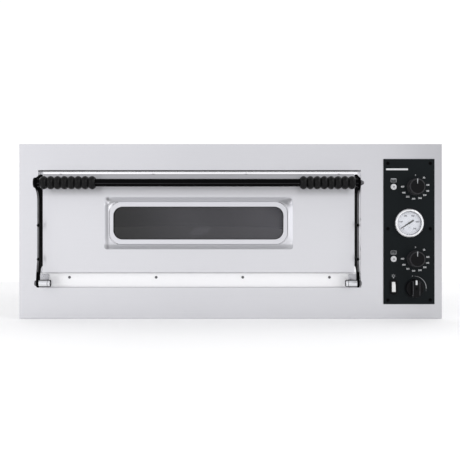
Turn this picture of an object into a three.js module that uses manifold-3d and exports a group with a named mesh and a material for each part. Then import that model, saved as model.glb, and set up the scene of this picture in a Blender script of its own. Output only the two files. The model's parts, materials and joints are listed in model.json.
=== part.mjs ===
// Single-deck electric bakery oven: sheet steel casing, insulated baking chamber with a stone
// hearth, drop-down glazed door on side arms, and a control panel to the right of the door.
//
// Units are millimetres, +Z is up and the front faces -Y. Inside the oven group a place is given
// as x to the right, "ahead" in front of the front face (so y = -ahead) and z above the base.

import * as THREE from 'three';
import { mergeVertices } from 'three/addons/utils/BufferGeometryUtils.js';
import Module from 'manifold-3d';

const wasm = await Module();
wasm.setup();

// ---------------------------------------------------------------- driving dimensions

const WIDTH = 1000;
const DEPTH = 780; // casing only, without the handle, the flue and the cable gland
const HEIGHT = 413;
const SHEET = 1.5; // sheet steel
const GAP = 0.3; // clearance between pieces that touch
const ROUND = 16; // facets of a round piece
const REAR_REACH = 22; // flue and gland behind the rear panel
const RETURN = 14; // folded edge of the front panel

const RECESS = { left: -455, right: 308, bottom: 73.9, top: 351, depth: 24 };
const DOOR = { left: -444.2, right: 293.2, bottom: 108.8, top: 341.7, thick: 20 };
const PLUG = { left: -415, right: 268, bottom: 160, top: 287, back: -38 };
const MOUTH = { left: -423.5, right: 276.5, bottom: 155, top: 295 };
const CHAMBER = { left: -435, right: 288, bottom: 112, top: 308, back: -748 };
const BLANKET = 45; // insulation round the chamber
const STONE = { top: 155, thick: 18, front: -46, back: -744 };
const SILL = { front: -8, thick: 2, underDoor: 1.3 };
const ELEMENT = { radius: 4, inset: 33, front: -100, back: -690, end: -768 };
const ELEMENT_LEVELS = { upper: CHAMBER.top - 9, lower: CHAMBER.bottom + 11 };

const HINGE = { ahead: 33, z: 86, pinRadius: 4, barrelRadius: 8.25, barrelLength: 27 };
const ARM = { thick: 5, front: 30, lugRadius: 10, bossRadius: 12 };
const HANDLE = { ahead: 47.5, z: 318.6, radius: 9, rodRadius: 4 };
const GRIP = { beads: 8, pitch: 15.9, radius: 15.8, bore: HANDLE.radius + GAP, inset: 6.2 };
const END_CAP = { radius: 11.8, thick: 3, wall: 1 };
const DOME_NUT = { washer: 7, radius: 5.5 };

const WINDOW = { width: 399.5, height: 77, radius: 21.5, z: 226, ringWide: 12.5, rise: 12 };

const PANEL = { x: 421.6, z: 206, width: 120.3, height: 343, thick: 3 };
const CUTOUT = { width: 90, height: 304 }; // opening in the front panel behind the control panel
const THERMOSTAT_X = 435.6;
const UPPER_Z = 311.5;
const LOWER_Z = 141.3;
const MAIN_SWITCH = { x: 433.4, z: 72.5 };
const KNOB = { radius: 20, top: 28 };
const NECK = 5.3; // holes in the control panel for switch necks and lamps
const SPINDLE = 3;
const GAUGE = { x: 421.2, z: 226, radius: 34.5, barrel: 30 };
const ROOM_READING = 12; // degrees that the needle rests above the scale's lowest mark
const LAMP_X = 384.9;
const ROCKER = { x: 384.6, z: 75, tilt: 10 };

const WALL_X = 318; // wall between the chamber and the electrical compartment
const LIGHT = { ahead: -130, z: 258, radius: 27, flange: 7 };
const FLUE = { z: 270, radius: 20, flange: 12 };
const GLAND = { x: 420, z: 60, bore: 7 };

const doorMiddle = (DOOR.left + DOOR.right) / 2;
const panelFront = PANEL.thick + GAP; // front of the control panel
const handleReach = HANDLE.ahead + GRIP.radius;
const frontY = (handleReach - DEPTH - REAR_REACH) / 2;

// ---------------------------------------------------------------- shaping tools

// Turns a geometry's faces outwards if its outline or profile was drawn the other way round.
function outward(geometry) {
  const plain = geometry.clone();
  plain.deleteAttribute('normal');
  plain.deleteAttribute('uv');
  const merged = mergeVertices(plain, 1e-4);
  const corners = [new THREE.Vector3(), new THREE.Vector3(), new THREE.Vector3()];
  const index = merged.index.array;
  let volume = 0;
  for (let face = 0; face < index.length; face += 3) {
    corners.forEach((corner, i) => {
      corner.fromBufferAttribute(merged.attributes.position, index[face + i]);
    });
    volume += corners[0].dot(corners[1].clone().cross(corners[2]));
  }
  if (volume < 0) {
    for (let face = 0; face < index.length; face += 3) {
      [index[face], index[face + 1]] = [index[face + 1], index[face]];
    }
  }
  return merged;
}

function solid(geometry) {
  const closed = outward(geometry);
  return new wasm.Manifold(new wasm.Mesh({
    numProp: 3,
    vertProperties: new Float32Array(closed.attributes.position.array),
    triVerts: new Uint32Array(closed.index.array),
  }));
}

function fromSolid(manifold) {
  const mesh = manifold.getMesh();
  const geometry = new THREE.BufferGeometry();
  geometry.setAttribute('position', new THREE.BufferAttribute(mesh.vertProperties, 3));
  geometry.setIndex(new THREE.BufferAttribute(mesh.triVerts, 1));
  return geometry;
}

const join = (...parts) => fromSolid(parts.map(solid).reduce((whole, part) => whole.add(part)));
const cut = (base, ...tools) =>
  fromSolid(tools.map(solid).reduce((rest, tool) => rest.subtract(tool), solid(base)));

function block(x0, x1, back, front, z0, z1) {
  const geometry = new THREE.BoxGeometry(x1 - x0, front - back, z1 - z0);
  return geometry.translate((x0 + x1) / 2, -(back + front) / 2, (z0 + z1) / 2);
}

function rectangle(x0, x1, z0, z1, radius = 0) {
  const shape = new THREE.Shape();
  if (radius === 0) {
    return shape.moveTo(x0, z0).lineTo(x1, z0).lineTo(x1, z1).lineTo(x0, z1);
  }
  shape.absarc(x1 - radius, z0 + radius, radius, -Math.PI / 2, 0);
  shape.absarc(x1 - radius, z1 - radius, radius, 0, Math.PI / 2);
  shape.absarc(x0 + radius, z1 - radius, radius, Math.PI / 2, Math.PI);
  shape.absarc(x0 + radius, z0 + radius, radius, Math.PI, Math.PI * 1.5);
  return shape;
}

const centred = (width, height, radius = 0) =>
  rectangle(-width / 2, width / 2, -height / 2, height / 2, radius);
const placed = ({ left, right, bottom, top }, grow = 0) =>
  rectangle(left - grow, right + grow, bottom - grow, top + grow);

// An outline in the front view, made solid from one distance ahead of the front face to another.
function slab(outline, back, front, curveSegments = 4) {
  const settings = { depth: front - back, bevelEnabled: false, curveSegments };
  return new THREE.ExtrudeGeometry(outline, settings).rotateX(Math.PI / 2).translate(0, -back, 0);
}

// An outline in the side view, drawn as (ahead, z), made solid between two places across.
function sideSlab(outline, x0, x1, curveSegments = 5) {
  const settings = { depth: x1 - x0, bevelEnabled: false, curveSegments };
  const geometry = new THREE.ExtrudeGeometry(outline, settings);
  const across = new THREE.Matrix4().makeBasis(
    new THREE.Vector3(0, -1, 0),
    new THREE.Vector3(0, 0, 1),
    new THREE.Vector3(-1, 0, 0),
  );
  return geometry.applyMatrix4(across).translate(x1, 0, 0);
}

// A profile of (radius, along) pairs turned about a line that runs ahead or across.
function turned(profile, sides = ROUND) {
  const points = profile.map(([radius, along]) => new THREE.Vector2(radius, along));
  return new THREE.LatheGeometry(points, sides);
}
const turnedAhead = (profile, sides) => turned(profile, sides).rotateX(Math.PI);
const turnedAcross = (profile, sides) => turned(profile, sides).rotateZ(-Math.PI / 2);

const pegAhead = (radius, back, front, x, z, sides) =>
  turnedAhead([[0, back], [radius, back], [radius, front], [0, front]], sides).translate(x, 0, z);
const pegAcross = (radius, x0, x1, ahead, z, sides) =>
  turnedAcross([[0, x0], [radius, x0], [radius, x1], [0, x1]], sides).translate(0, -ahead, z);

// Points round a rounded rectangle. Every loop has the same number of points, so loops of
// different sizes and corner radii can be joined one to the next.
function loopPoints({ width, height, radius, ahead }, steps = 4) {
  const points = [];
  for (let corner = 0; corner < 4; corner += 1) {
    const sideways = corner === 0 || corner === 3 ? 1 : -1;
    const upwards = corner < 2 ? 1 : -1;
    for (let step = 0; step <= steps; step += 1) {
      const angle = (corner + step / steps) * (Math.PI / 2);
      const x = sideways * (width / 2 - radius) + radius * Math.cos(angle);
      const z = upwards * (height / 2 - radius) + radius * Math.sin(angle);
      points.push(x, -ahead, z);
    }
  }
  return points;
}

// A frame that runs all the way round: its cross-section is the ring of loops.
function frameOf(loops) {
  const rings = loops.map((loop) => loopPoints(loop));
  const count = rings[0].length / 3;
  const index = [];
  rings.forEach((_, ring) => {
    const next = (ring + 1) % rings.length;
    for (let point = 0; point < count; point += 1) {
      const beside = (point + 1) % count;
      const [a, b] = [ring * count + point, ring * count + beside];
      const [c, d] = [next * count + point, next * count + beside];
      index.push(a, b, c, b, d, c);
    }
  });
  const geometry = new THREE.BufferGeometry();
  geometry.setAttribute('position', new THREE.Float32BufferAttribute(rings.flat(), 3));
  geometry.setIndex(index);
  return outward(geometry);
}

// A wire bent in straight runs and round turns, sampled at its own points, so that a straight
// run costs no extra faces.
class BentWire extends THREE.Curve {
  constructor(points) {
    super();
    this.points = points;
  }

  getPoint(t) {
    const place = t * (this.points.length - 1);
    const before = Math.min(Math.floor(place), this.points.length - 2);
    return this.points[before].clone().lerp(this.points[before + 1], place - before);
  }

  getPointAt(u) {
    return this.getPoint(u);
  }

  getTangentAt(u) {
    return this.getTangent(u);
  }
}

function wire(points, radius, sides = 6) {
  const section = new THREE.Shape().absarc(0, 0, radius, 0, Math.PI * 2);
  return new THREE.ExtrudeGeometry(section, {
    extrudePath: new BentWire(points),
    steps: points.length - 1,
    curveSegments: sides / 2,
    bevelEnabled: false,
  });
}

// ---------------------------------------------------------------- finishes and nodes

const FINISHES = {
  steel: [0xd6d6db, 0.35, 0.9],
  brightSteel: [0xf0f0f2, 0.3, 0.9],
  galvanised: [0xa9adb1, 0.5, 0.8],
  chrome: [0xe4e6ea, 0.12, 1],
  blackSteel: [0x1d1d20, 0.4, 0.5],
  panelBlack: [0x1c2225, 0.45, 0.2],
  blackPlastic: [0x202024, 0.5, 0],
  whitePlastic: [0xe9e9e6, 0.45, 0],
  glass: [0x4c4c52, 0.08, 0.1],
  clearGlass: [0xdfe8ea, 0.05, 0],
  stone: [0xcdb999, 0.9, 0],
  wool: [0xd9cfa6, 1, 0],
  fibre: [0xd8d4c8, 0.95, 0],
  element: [0x5a5450, 0.55, 0.7],
  dial: [0xf3f3f5, 0.6, 0],
};

const oven = new THREE.Group();
oven.position.y = frontY;

function piece(group, name, geometry, finish) {
  const [color, roughness, metalness] = FINISHES[finish];
  const material = new THREE.MeshStandardMaterial({ color, roughness, metalness });
  const mesh = new THREE.Mesh(outward(geometry), material);
  mesh.name = name;
  group.add(mesh);
  return mesh;
}

// ---------------------------------------------------------------- casing

const half = WIDTH / 2;
const inner = half - SHEET - GAP;
const panelsFront = -RETURN - GAP;
const rearFace = -DEPTH;

function frontPanel() {
  const whole = { left: -half, right: half, bottom: 0, top: HEIGHT };
  const face = placed(whole);
  face.holes.push(placed(RECESS));
  const edge = placed(whole);
  edge.holes.push(placed(whole, -SHEET));
  const walls = placed(RECESS, SHEET);
  walls.holes.push(placed(RECESS));
  const opening = slab(centred(CUTOUT.width, CUTOUT.height), -SHEET - 1, 1);
  return join(
    cut(slab(face, -SHEET, 0), opening.translate(PANEL.x, 0, PANEL.z)),
    slab(edge, -RETURN, -SHEET / 2),
    slab(walls, -RECESS.depth, -SHEET / 2),
  );
}

// Rows of upright slots in a side panel, for the air of the electrical compartment.
function sideSlots(x0, x1) {
  const [columns, pitch, width, height] = [9, 20, 6, 60];
  const slots = [];
  for (let column = 0; column < columns; column += 1) {
    const back = -330 + column * pitch;
    for (const z of [70, 290]) {
      slots.push(block(x0 - 1, x1 + 1, back, back + width, z, z + height));
    }
  }
  return slots;
}

function sidePanel(side) {
  const [x0, x1] = side < 0 ? [-half, -half + SHEET] : [half - SHEET, half];
  const [fold0, fold1] = side < 0 ? [-half, -half + RETURN] : [half - RETURN, half];
  const top = HEIGHT - SHEET - GAP;
  const web = block(x0, x1, rearFace, panelsFront, 0, top);
  const folds = [SHEET + GAP, top - SHEET].map((z) =>
    block(fold0, fold1, rearFace + SHEET + GAP, panelsFront, z, z + SHEET));
  const panel = join(web, ...folds);
  return side < 0 ? panel : cut(panel, ...sideSlots(x0, x1));
}

// A flat sheet with its front and rear edges folded towards the inside of the oven.
function foldedSheet(halfWidth, z, fold) {
  const lipHalf = half - RETURN - 2;
  const low = Math.min(z, z + fold);
  const lips = [panelsFront - SHEET, rearFace + SHEET + GAP].map((back) =>
    block(-lipHalf, lipHalf, back, back + SHEET, low + SHEET / 2, low + Math.abs(fold) + SHEET / 2));
  return join(block(-halfWidth, halfWidth, rearFace, panelsFront, z, z + SHEET), ...lips);
}

function rearPanel() {
  const face = rectangle(-inner, inner, SHEET + GAP, HEIGHT - SHEET - GAP);
  const slot = { rows: 8, pitch: 10, width: 100, height: 4 };
  for (let row = 0; row < slot.rows; row += 1) {
    const [x, z] = [WALL_X + 40, 300 + row * slot.pitch];
    face.holes.push(rectangle(x, x + slot.width, z, z + slot.height));
  }
  return cut(
    slab(face, rearFace, rearFace + SHEET),
    pegAhead(FLUE.radius + GAP, rearFace - 1, rearFace + 3, doorMiddle, FLUE.z),
    pegAhead(10 + GAP, rearFace - 1, rearFace + 3, GLAND.x, GLAND.z),
  );
}

function compartmentWall() {
  const wall = block(WALL_X, WALL_X + SHEET, rearFace + 5, -RECESS.depth - 6, SHEET + GAP, HEIGHT - 5);
  return cut(
    wall,
    pegAcross(LIGHT.radius + 3, WALL_X - 1, WALL_X + SHEET + 1, LIGHT.ahead, LIGHT.z),
    pegAcross(15, WALL_X - 1, WALL_X + SHEET + 1, -700, 300),
  );
}

piece(oven, 'front_panel', frontPanel(), 'steel');
piece(oven, 'left_side_panel', sidePanel(-1), 'steel');
piece(oven, 'right_side_panel', sidePanel(1), 'steel');
piece(oven, 'top_cover', foldedSheet(half, HEIGHT - SHEET, -12), 'steel');
piece(oven, 'base_pan', foldedSheet(inner, 0, 16), 'galvanised');
piece(oven, 'rear_panel', rearPanel(), 'galvanised');
piece(oven, 'compartment_wall', compartmentWall(), 'galvanised');

// ---------------------------------------------------------------- baking chamber

const frameFace = -RECESS.depth - GAP;
const chamberFront = frameFace - SHEET - GAP;
const halves = [
  { side: 'left', x0: CHAMBER.left + 2, x1: doorMiddle - 1 },
  { side: 'right', x0: doorMiddle + 1, x1: CHAMBER.right - 2 },
];

function chamberFrontFrame() {
  const lipDepth = 14;
  const face = rectangle(RECESS.left - 12, RECESS.right + 8, RECESS.bottom - 12, RECESS.top + 12);
  face.holes.push(placed(MOUTH));
  const lip = placed(MOUTH, SHEET);
  lip.holes.push(placed(MOUTH));
  return join(
    slab(face, frameFace - SHEET, frameFace),
    slab(lip, frameFace - lipDepth, frameFace - SHEET / 2),
  );
}

// The sill closes the recess under the door: an upright face with a shelf behind its top edge.
function sillPlate() {
  const [x0, x1] = [RECESS.left + GAP, RECESS.right - GAP];
  const { front, thick, underDoor } = SILL;
  const top = DOOR.bottom - underDoor;
  return join(
    block(x0, x1, front - thick, front, RECESS.bottom + GAP, top),
    block(x0, x1, frameFace + GAP, front - thick / 2, top - SHEET, top),
  );
}

// Runs of one element: it comes in through the rear wall, goes to the front and back twice,
// and leaves through the rear wall again.
const elementEnds = ({ x0, x1 }) => [x0 + ELEMENT.inset, x1 - ELEMENT.inset];

function heatingElement(part, z) {
  const [first, last] = elementEnds(part);
  const pitch = (last - first) / 3;
  const turnSteps = 6;
  const { front, back, end, radius } = ELEMENT;
  const points = [new THREE.Vector3(first, -end, z)];
  for (let run = 0; run < 3; run += 1) {
    const centre = first + (run + 0.5) * pitch;
    const forward = run % 2 === 0;
    for (let step = 0; step <= turnSteps; step += 1) {
      const angle = Math.PI * (1 - step / turnSteps);
      const bulge = (pitch / 2) * Math.sin(angle) * (forward ? 1 : -1);
      const ahead = (forward ? front : back) + bulge;
      points.push(new THREE.Vector3(centre + (pitch / 2) * Math.cos(angle), -ahead, z));
    }
  }
  points.push(new THREE.Vector3(last, -end, z));
  return wire(points, radius);
}

function elementHoles(radius, back, front) {
  return Object.values(ELEMENT_LEVELS).flatMap((z) =>
    halves.flatMap((part) => elementEnds(part).map((x) => pegAhead(radius, back, front, x, z, 8))));
}

function chamberShell() {
  return cut(
    slab(placed(CHAMBER, SHEET), CHAMBER.back - SHEET, chamberFront),
    slab(placed(CHAMBER), CHAMBER.back, 0),
    pegAcross(LIGHT.radius + 2, CHAMBER.right - 1, CHAMBER.right + 4, LIGHT.ahead, LIGHT.z),
    pegAhead(FLUE.radius + GAP, CHAMBER.back - 4, CHAMBER.back + 1, doorMiddle, FLUE.z),
    ...elementHoles(ELEMENT.radius + 2 * GAP, CHAMBER.back - 4, CHAMBER.back + 1),
  );
}

// Welded bars that carry the hearth stones above the lower elements.
function hearthFrame() {
  const bottom = CHAMBER.bottom + GAP;
  const top = STONE.top - STONE.thick - GAP;
  const [back, front] = [STONE.back + 2, STONE.front - 2];
  const bar = 10;
  const lengthways = [CHAMBER.left + GAP, doorMiddle - bar / 2, CHAMBER.right - GAP - bar].map((x) =>
    block(x, x + bar, back, front, bottom, top));
  const across = [back, front - bar].map((start) =>
    block(CHAMBER.left + GAP, CHAMBER.right - GAP, start, start + bar, top - 7, top));
  return join(...lengthways, ...across);
}

function hearthStone({ x0, x1 }) {
  const chamfer = 2;
  const outline = new THREE.Shape();
  const [low, high] = [STONE.top - STONE.thick, STONE.top];
  outline.moveTo(x0, low).lineTo(x1, low).lineTo(x1, high - chamfer).lineTo(x1 - chamfer, high);
  outline.lineTo(x0 + chamfer, high).lineTo(x0, high - chamfer);
  return slab(outline, STONE.back, STONE.front);
}

// One mineral wool blanket goes round the chamber, and a flat piece closes it behind.
function insulationWrap() {
  const [bottom, top] = [CHAMBER.bottom - BLANKET, CHAMBER.top + BLANKET];
  const outline = rectangle(CHAMBER.left - BLANKET, WALL_X - 2 * GAP, bottom, top);
  outline.holes.push(placed(CHAMBER, SHEET + GAP));
  return cut(
    slab(outline, rearFace + 5, chamberFront),
    pegAcross(LIGHT.radius + 3, CHAMBER.right, WALL_X + 1, LIGHT.ahead, LIGHT.z),
  );
}

function insulationRear() {
  const [back, front] = [rearFace + 5, CHAMBER.back - SHEET - GAP];
  return cut(
    slab(placed(CHAMBER, SHEET), back, front),
    pegAhead(FLUE.radius + 1, back - 1, front + 1, doorMiddle, FLUE.z),
    ...elementHoles(ELEMENT.radius + 1, back - 1, front + 1),
  );
}

function fluePipe() {
  const [end, start] = [rearFace - REAR_REACH, CHAMBER.back + 1.5];
  const { radius } = FLUE;
  const [bore, flange] = [radius - SHEET, radius + FLUE.flange];
  const seat = rearFace - GAP;
  return turnedAhead([
    [bore, end], [radius, end], [radius, seat - SHEET], [flange, seat - SHEET], [flange, seat],
    [radius, seat], [radius, start], [bore, start], [bore, end],
  ]).translate(doorMiddle, 0, FLUE.z);
}

piece(oven, 'chamber_front_frame', chamberFrontFrame(), 'brightSteel');
piece(oven, 'sill_plate', sillPlate(), 'brightSteel');
piece(oven, 'chamber_shell', chamberShell(), 'galvanised');
piece(oven, 'hearth_frame', hearthFrame(), 'galvanised');
for (const part of halves) {
  piece(oven, `hearth_stone_${part.side}`, hearthStone(part), 'stone');
  for (const [level, z] of Object.entries(ELEMENT_LEVELS)) {
    piece(oven, `${level}_element_${part.side}`, heatingElement(part, z), 'element');
  }
}
piece(oven, 'insulation_wrap', insulationWrap(), 'wool');
piece(oven, 'insulation_rear', insulationRear(), 'wool');
piece(oven, 'flue_pipe', fluePipe(), 'galvanised');

// ---------------------------------------------------------------- chamber light

const light = new THREE.Group();
light.position.set(CHAMBER.right, -LIGHT.ahead, LIGHT.z);
oven.add(light);

const tube = LIGHT.radius;
piece(light, 'lamp_housing', turnedAcross([
  [0, 58], [0, 56], [tube - 2, 56], [tube - 2, -2.3], [tube + LIGHT.flange, -2.3],
  [tube + LIGHT.flange, -GAP], [tube, -GAP], [tube, 58], [0, 58],
]), 'galvanised');
piece(light, 'lamp_glass', turnedAcross([
  [tube - 5, 8], [tube - 3, 8], [tube - 3, -4], [tube - 6, -8], [8, -10], [0, -10],
  [0, -8], [8, -8], [tube - 7.5, -6], [tube - 5, -3], [tube - 5, 8],
]), 'clearGlass');
piece(light, 'lamp_bulb', turnedAcross([
  [0, 0], [6, 1.5], [11, 8], [11, 16], [7, 26], [7, 34], [9, 36], [9, 55.7], [0, 55.7],
], 20), 'whitePlastic');

// ---------------------------------------------------------------- door

const door = new THREE.Group();
oven.add(door);

function doorOuterSkin() {
  const face = rectangle(DOOR.left, DOOR.right, DOOR.bottom, DOOR.top, 2);
  const hollow = block(DOOR.left + SHEET, DOOR.right - SHEET, -DOOR.thick - 1, -SHEET,
    DOOR.bottom + SHEET, DOOR.top - SHEET);
  const hole = slab(centred(WINDOW.width + 6, WINDOW.height + 6, WINDOW.radius + 3), -5, 5);
  return cut(slab(face, -DOOR.thick, 0), hollow, hole.translate(doorMiddle, 0, WINDOW.z));
}

function doorInnerLiner() {
  const edge = SHEET + GAP;
  const plate = block(DOOR.left + edge, DOOR.right - edge, -DOOR.thick, -DOOR.thick + SHEET,
    DOOR.bottom + edge, DOOR.top - edge);
  const plug = block(PLUG.left, PLUG.right, PLUG.back, -DOOR.thick + 1, PLUG.bottom, PLUG.top);
  const hollow = block(PLUG.left + SHEET, PLUG.right - SHEET, PLUG.back + SHEET, -DOOR.thick + 4,
    PLUG.bottom + SHEET, PLUG.top - SHEET);
  const hole = slab(centred(WINDOW.width - 4, WINDOW.height - 4, WINDOW.radius - 2), PLUG.back - 2, -30);
  return cut(join(plate, plug), hollow, hole.translate(doorMiddle, 0, WINDOW.z));
}

function doorInsulation() {
  const edge = SHEET + 1;
  const front = block(DOOR.left + edge, DOOR.right - edge, -DOOR.thick + SHEET + GAP, -SHEET - GAP,
    DOOR.bottom + edge, DOOR.top - edge);
  const behind = block(PLUG.left + edge, PLUG.right - edge, PLUG.back + edge, -DOOR.thick + SHEET + 1,
    PLUG.bottom + edge, PLUG.top - edge);
  const hole = slab(centred(WINDOW.width + 13, WINDOW.height + 13, WINDOW.radius + 6), PLUG.back - 2, 2);
  return cut(join(front, behind), hole.translate(doorMiddle, 0, WINDOW.z));
}

// A flat rope gasket round the mouth, between the door's liner and the chamber's frame.
function doorSeal() {
  const wide = MOUTH.right - MOUTH.left;
  const tall = MOUTH.top - MOUTH.bottom;
  const [back, front] = [frameFace + GAP, -DOOR.thick - GAP];
  const rim = { width: wide + 24, height: tall + 42, radius: 16 };
  const inside = { width: wide + 8, height: tall + 26, radius: 8 };
  return frameOf([
    { ...rim, ahead: back + 1 }, { ...rim, ahead: front }, { ...inside, ahead: front },
    { ...inside, ahead: back + 1 }, { width: wide + 12, height: tall + 30, radius: 10, ahead: back },
    { width: wide + 20, height: tall + 38, radius: 14, ahead: back },
  ]);
}

piece(door, 'door_outer_skin', doorOuterSkin(), 'steel');
piece(door, 'door_inner_liner', doorInnerLiner(), 'galvanised');
piece(door, 'door_insulation', doorInsulation(), 'wool');
piece(door, 'door_seal', doorSeal().translate(doorMiddle, 0, WINDOW.z - 1), 'fibre');

// The window frame is pressed from sheet: its sides slope up from a nearly square foot to a
// flat ring with round corners, and a short lip holds the glass.
const glazing = new THREE.Group();
glazing.position.set(doorMiddle, 0, WINDOW.z);
door.add(glazing);

const pane = { width: WINDOW.width, height: WINDOW.height, radius: WINDOW.radius };
const grown = (by, ahead, radius = pane.radius + by / 2) =>
  ({ width: pane.width + by, height: pane.height + by, radius, ahead });
const ringTop = GAP + WINDOW.rise;
const ringBy = WINDOW.ringWide * 2;
const footBy = ringBy + 22;
const [lipDepth, paneThick] = [3.2, 4];

piece(glazing, 'window_frame', frameOf([
  grown(footBy, GAP, 6), grown(ringBy, ringTop, 28), grown(0, ringTop), grown(0, ringTop - lipDepth),
  grown(3, ringTop - lipDepth), grown(3, ringTop - SHEET), grown(ringBy - 3, ringTop - SHEET, 26),
  grown(footBy - 4, GAP, 5),
]), 'steel');
const glassFront = ringTop - lipDepth - GAP;
const outerPane = centred(pane.width + 12, pane.height + 12, pane.radius + 5);
piece(glazing, 'window_outer_glass', slab(outerPane, glassFront - paneThick, glassFront), 'glass');
const tunnelFront = glassFront - paneThick - GAP;
const tunnelBack = -32;
piece(glazing, 'window_tunnel', frameOf([
  grown(4, tunnelBack), grown(4, tunnelFront), grown(0, tunnelFront), grown(0, tunnelBack),
]), 'galvanised');
const innerPane = centred(pane.width + 10, pane.height + 10, pane.radius + 4);
const innerBack = PLUG.back + SHEET + GAP;
piece(glazing, 'window_inner_glass', slab(innerPane, innerBack, tunnelBack - GAP), 'clearGlass');

// ---------------------------------------------------------------- arms, hinges and handle

// Side view of an arm: a wide bar along the door's edge, a lug at the hinge pin below and a
// boss at the handle above, both ahead of the bar.
function armOutline() {
  const outline = new THREE.Shape();
  const { front, lugRadius, bossRadius } = ARM;
  const rear = -DOOR.thick;
  outline.absarc(HINGE.ahead, HINGE.z, lugRadius, Math.PI, Math.PI * 2);
  outline.quadraticCurveTo(front + 11, 112, front, 140);
  outline.lineTo(front, 278);
  outline.quadraticCurveTo(front + 1, 297, HANDLE.ahead + bossRadius - 4, 308);
  outline.absarc(HANDLE.ahead, HANDLE.z, bossRadius, -0.9, Math.PI * 0.55);
  outline.lineTo(8, DOOR.top - 1);
  outline.lineTo(rear, DOOR.top - 1);
  outline.lineTo(rear, 160);
  outline.quadraticCurveTo(rear + 2, 136, 6, 132);
  outline.quadraticCurveTo(HINGE.ahead - lugRadius, 122, HINGE.ahead - lugRadius, HINGE.z);
  return outline;
}

function arm(x0) {
  const [from, to] = [x0 - 1, x0 + ARM.thick + 1];
  return cut(
    sideSlab(armOutline(), x0, x0 + ARM.thick),
    pegAcross(HINGE.pinRadius + GAP, from, to, HINGE.ahead, HINGE.z),
    pegAcross(HANDLE.rodRadius + GAP, from, to, HANDLE.ahead, HANDLE.z),
  );
}

// A hinge bracket is drawn for the left side, with x measured from the arm's inner face, and
// mirrored for the right side. Its foot stands on the sill and its web carries the barrel.
function hingeBracket(side) {
  const foot = block(-10, 14, -7.7, -4.7, 76, 105);
  const web = block(8, 13, -5, HINGE.ahead, HINGE.z - 6, HINGE.z + 6);
  const { barrelRadius, barrelLength, pinRadius, ahead, z } = HINGE;
  const barrel = turnedAcross([
    [0, GAP], [barrelRadius, GAP], [barrelRadius, barrelLength - 2], [barrelRadius - 2, barrelLength],
    [0, barrelLength],
  ]).translate(0, -ahead, z);
  const bracket = cut(join(foot, web, barrel), pegAcross(pinRadius + GAP, -1, barrelLength + 1, ahead, z));
  return outward(bracket.scale(side, 1, 1));
}

function hingePin(side) {
  const reach = ARM.thick + GAP;
  const pin = turnedAcross([
    [0, -reach - 5], [4.5, -reach - 5], [6.5, -reach - 3.5], [6.5, -reach], [HINGE.pinRadius, -reach],
    [HINGE.pinRadius, HINGE.barrelLength - 1], [0, HINGE.barrelLength - 1],
  ]).translate(0, -HINGE.ahead, HINGE.z);
  return outward(pin.scale(side, 1, 1));
}

const armSides = [
  { name: 'left', side: 1, inside: DOOR.left - GAP, x0: DOOR.left - GAP - ARM.thick },
  { name: 'right', side: -1, inside: DOOR.right + GAP, x0: DOOR.right + GAP },
];
for (const { name, side, inside, x0 } of armSides) {
  piece(door, `${name}_arm`, arm(x0), 'blackSteel');
  piece(oven, `${name}_hinge_bracket`, hingeBracket(side).translate(inside, 0, 0), 'chrome');
  piece(oven, `${name}_hinge_pin`, hingePin(side).translate(inside, 0, 0), 'chrome');
}

// Rounded beads side by side, each an arc, over a straight bore.
function grip() {
  const { beads, pitch, radius, bore } = GRIP;
  const waist = radius - 3;
  const profile = [[bore, 0], [waist - 1, 0]];
  for (let bead = 0; bead < beads; bead += 1) {
    for (const [part, rise] of [[0.17, 0.6], [0.5, 1], [0.83, 0.6]]) {
      profile.push([waist + (radius - waist) * rise, (bead + part) * pitch]);
    }
    profile.push([bead < beads - 1 ? waist : waist - 1, (bead + 1) * pitch]);
  }
  profile.push([bore, beads * pitch], [bore, 0]);
  return turnedAcross(profile, 14);
}

const handle = new THREE.Group();
handle.position.set(0, -HANDLE.ahead, HANDLE.z);
door.add(handle);

const rod = HANDLE.rodRadius;
const gripLength = GRIP.beads * GRIP.pitch;
const [outerLeft, outerRight] = [DOOR.left - 2 * GAP - ARM.thick, DOOR.right + 2 * GAP + ARM.thick];
piece(handle, 'handle_tube', turnedAcross([
  [rod + 1, DOOR.left], [HANDLE.radius, DOOR.left], [HANDLE.radius, DOOR.right], [rod + 1, DOOR.right],
  [rod + 1, DOOR.left],
]), 'blackSteel');
piece(handle, 'left_grip', grip().translate(DOOR.left + GRIP.inset, 0, 0), 'blackPlastic');
piece(handle, 'right_grip', grip().translate(DOOR.right - GRIP.inset - gripLength, 0, 0), 'blackPlastic');
const capEnd = outerLeft - END_CAP.thick;
const pocket = capEnd + END_CAP.wall; // bottom of the cap's hole for the rod
piece(handle, 'handle_end_cap', turnedAcross([
  [0, capEnd], [END_CAP.radius - 1.2, capEnd], [END_CAP.radius, capEnd + 1.2], [END_CAP.radius, outerLeft],
  [rod + GAP, outerLeft], [rod + GAP, pocket], [0, pocket],
]), 'blackPlastic');
const nut = outerRight + 1.5; // where the dome nut starts, over its washer
piece(handle, 'handle_rod', turnedAcross([
  [0, pocket + GAP], [rod, pocket + GAP], [rod, outerRight],
  [DOME_NUT.washer, outerRight], [DOME_NUT.washer, nut],
  [DOME_NUT.radius, nut], [DOME_NUT.radius, nut + 2.5], [rod, nut + 5.5], [0, nut + 7],
]), 'blackSteel');

// ---------------------------------------------------------------- control panel

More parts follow.
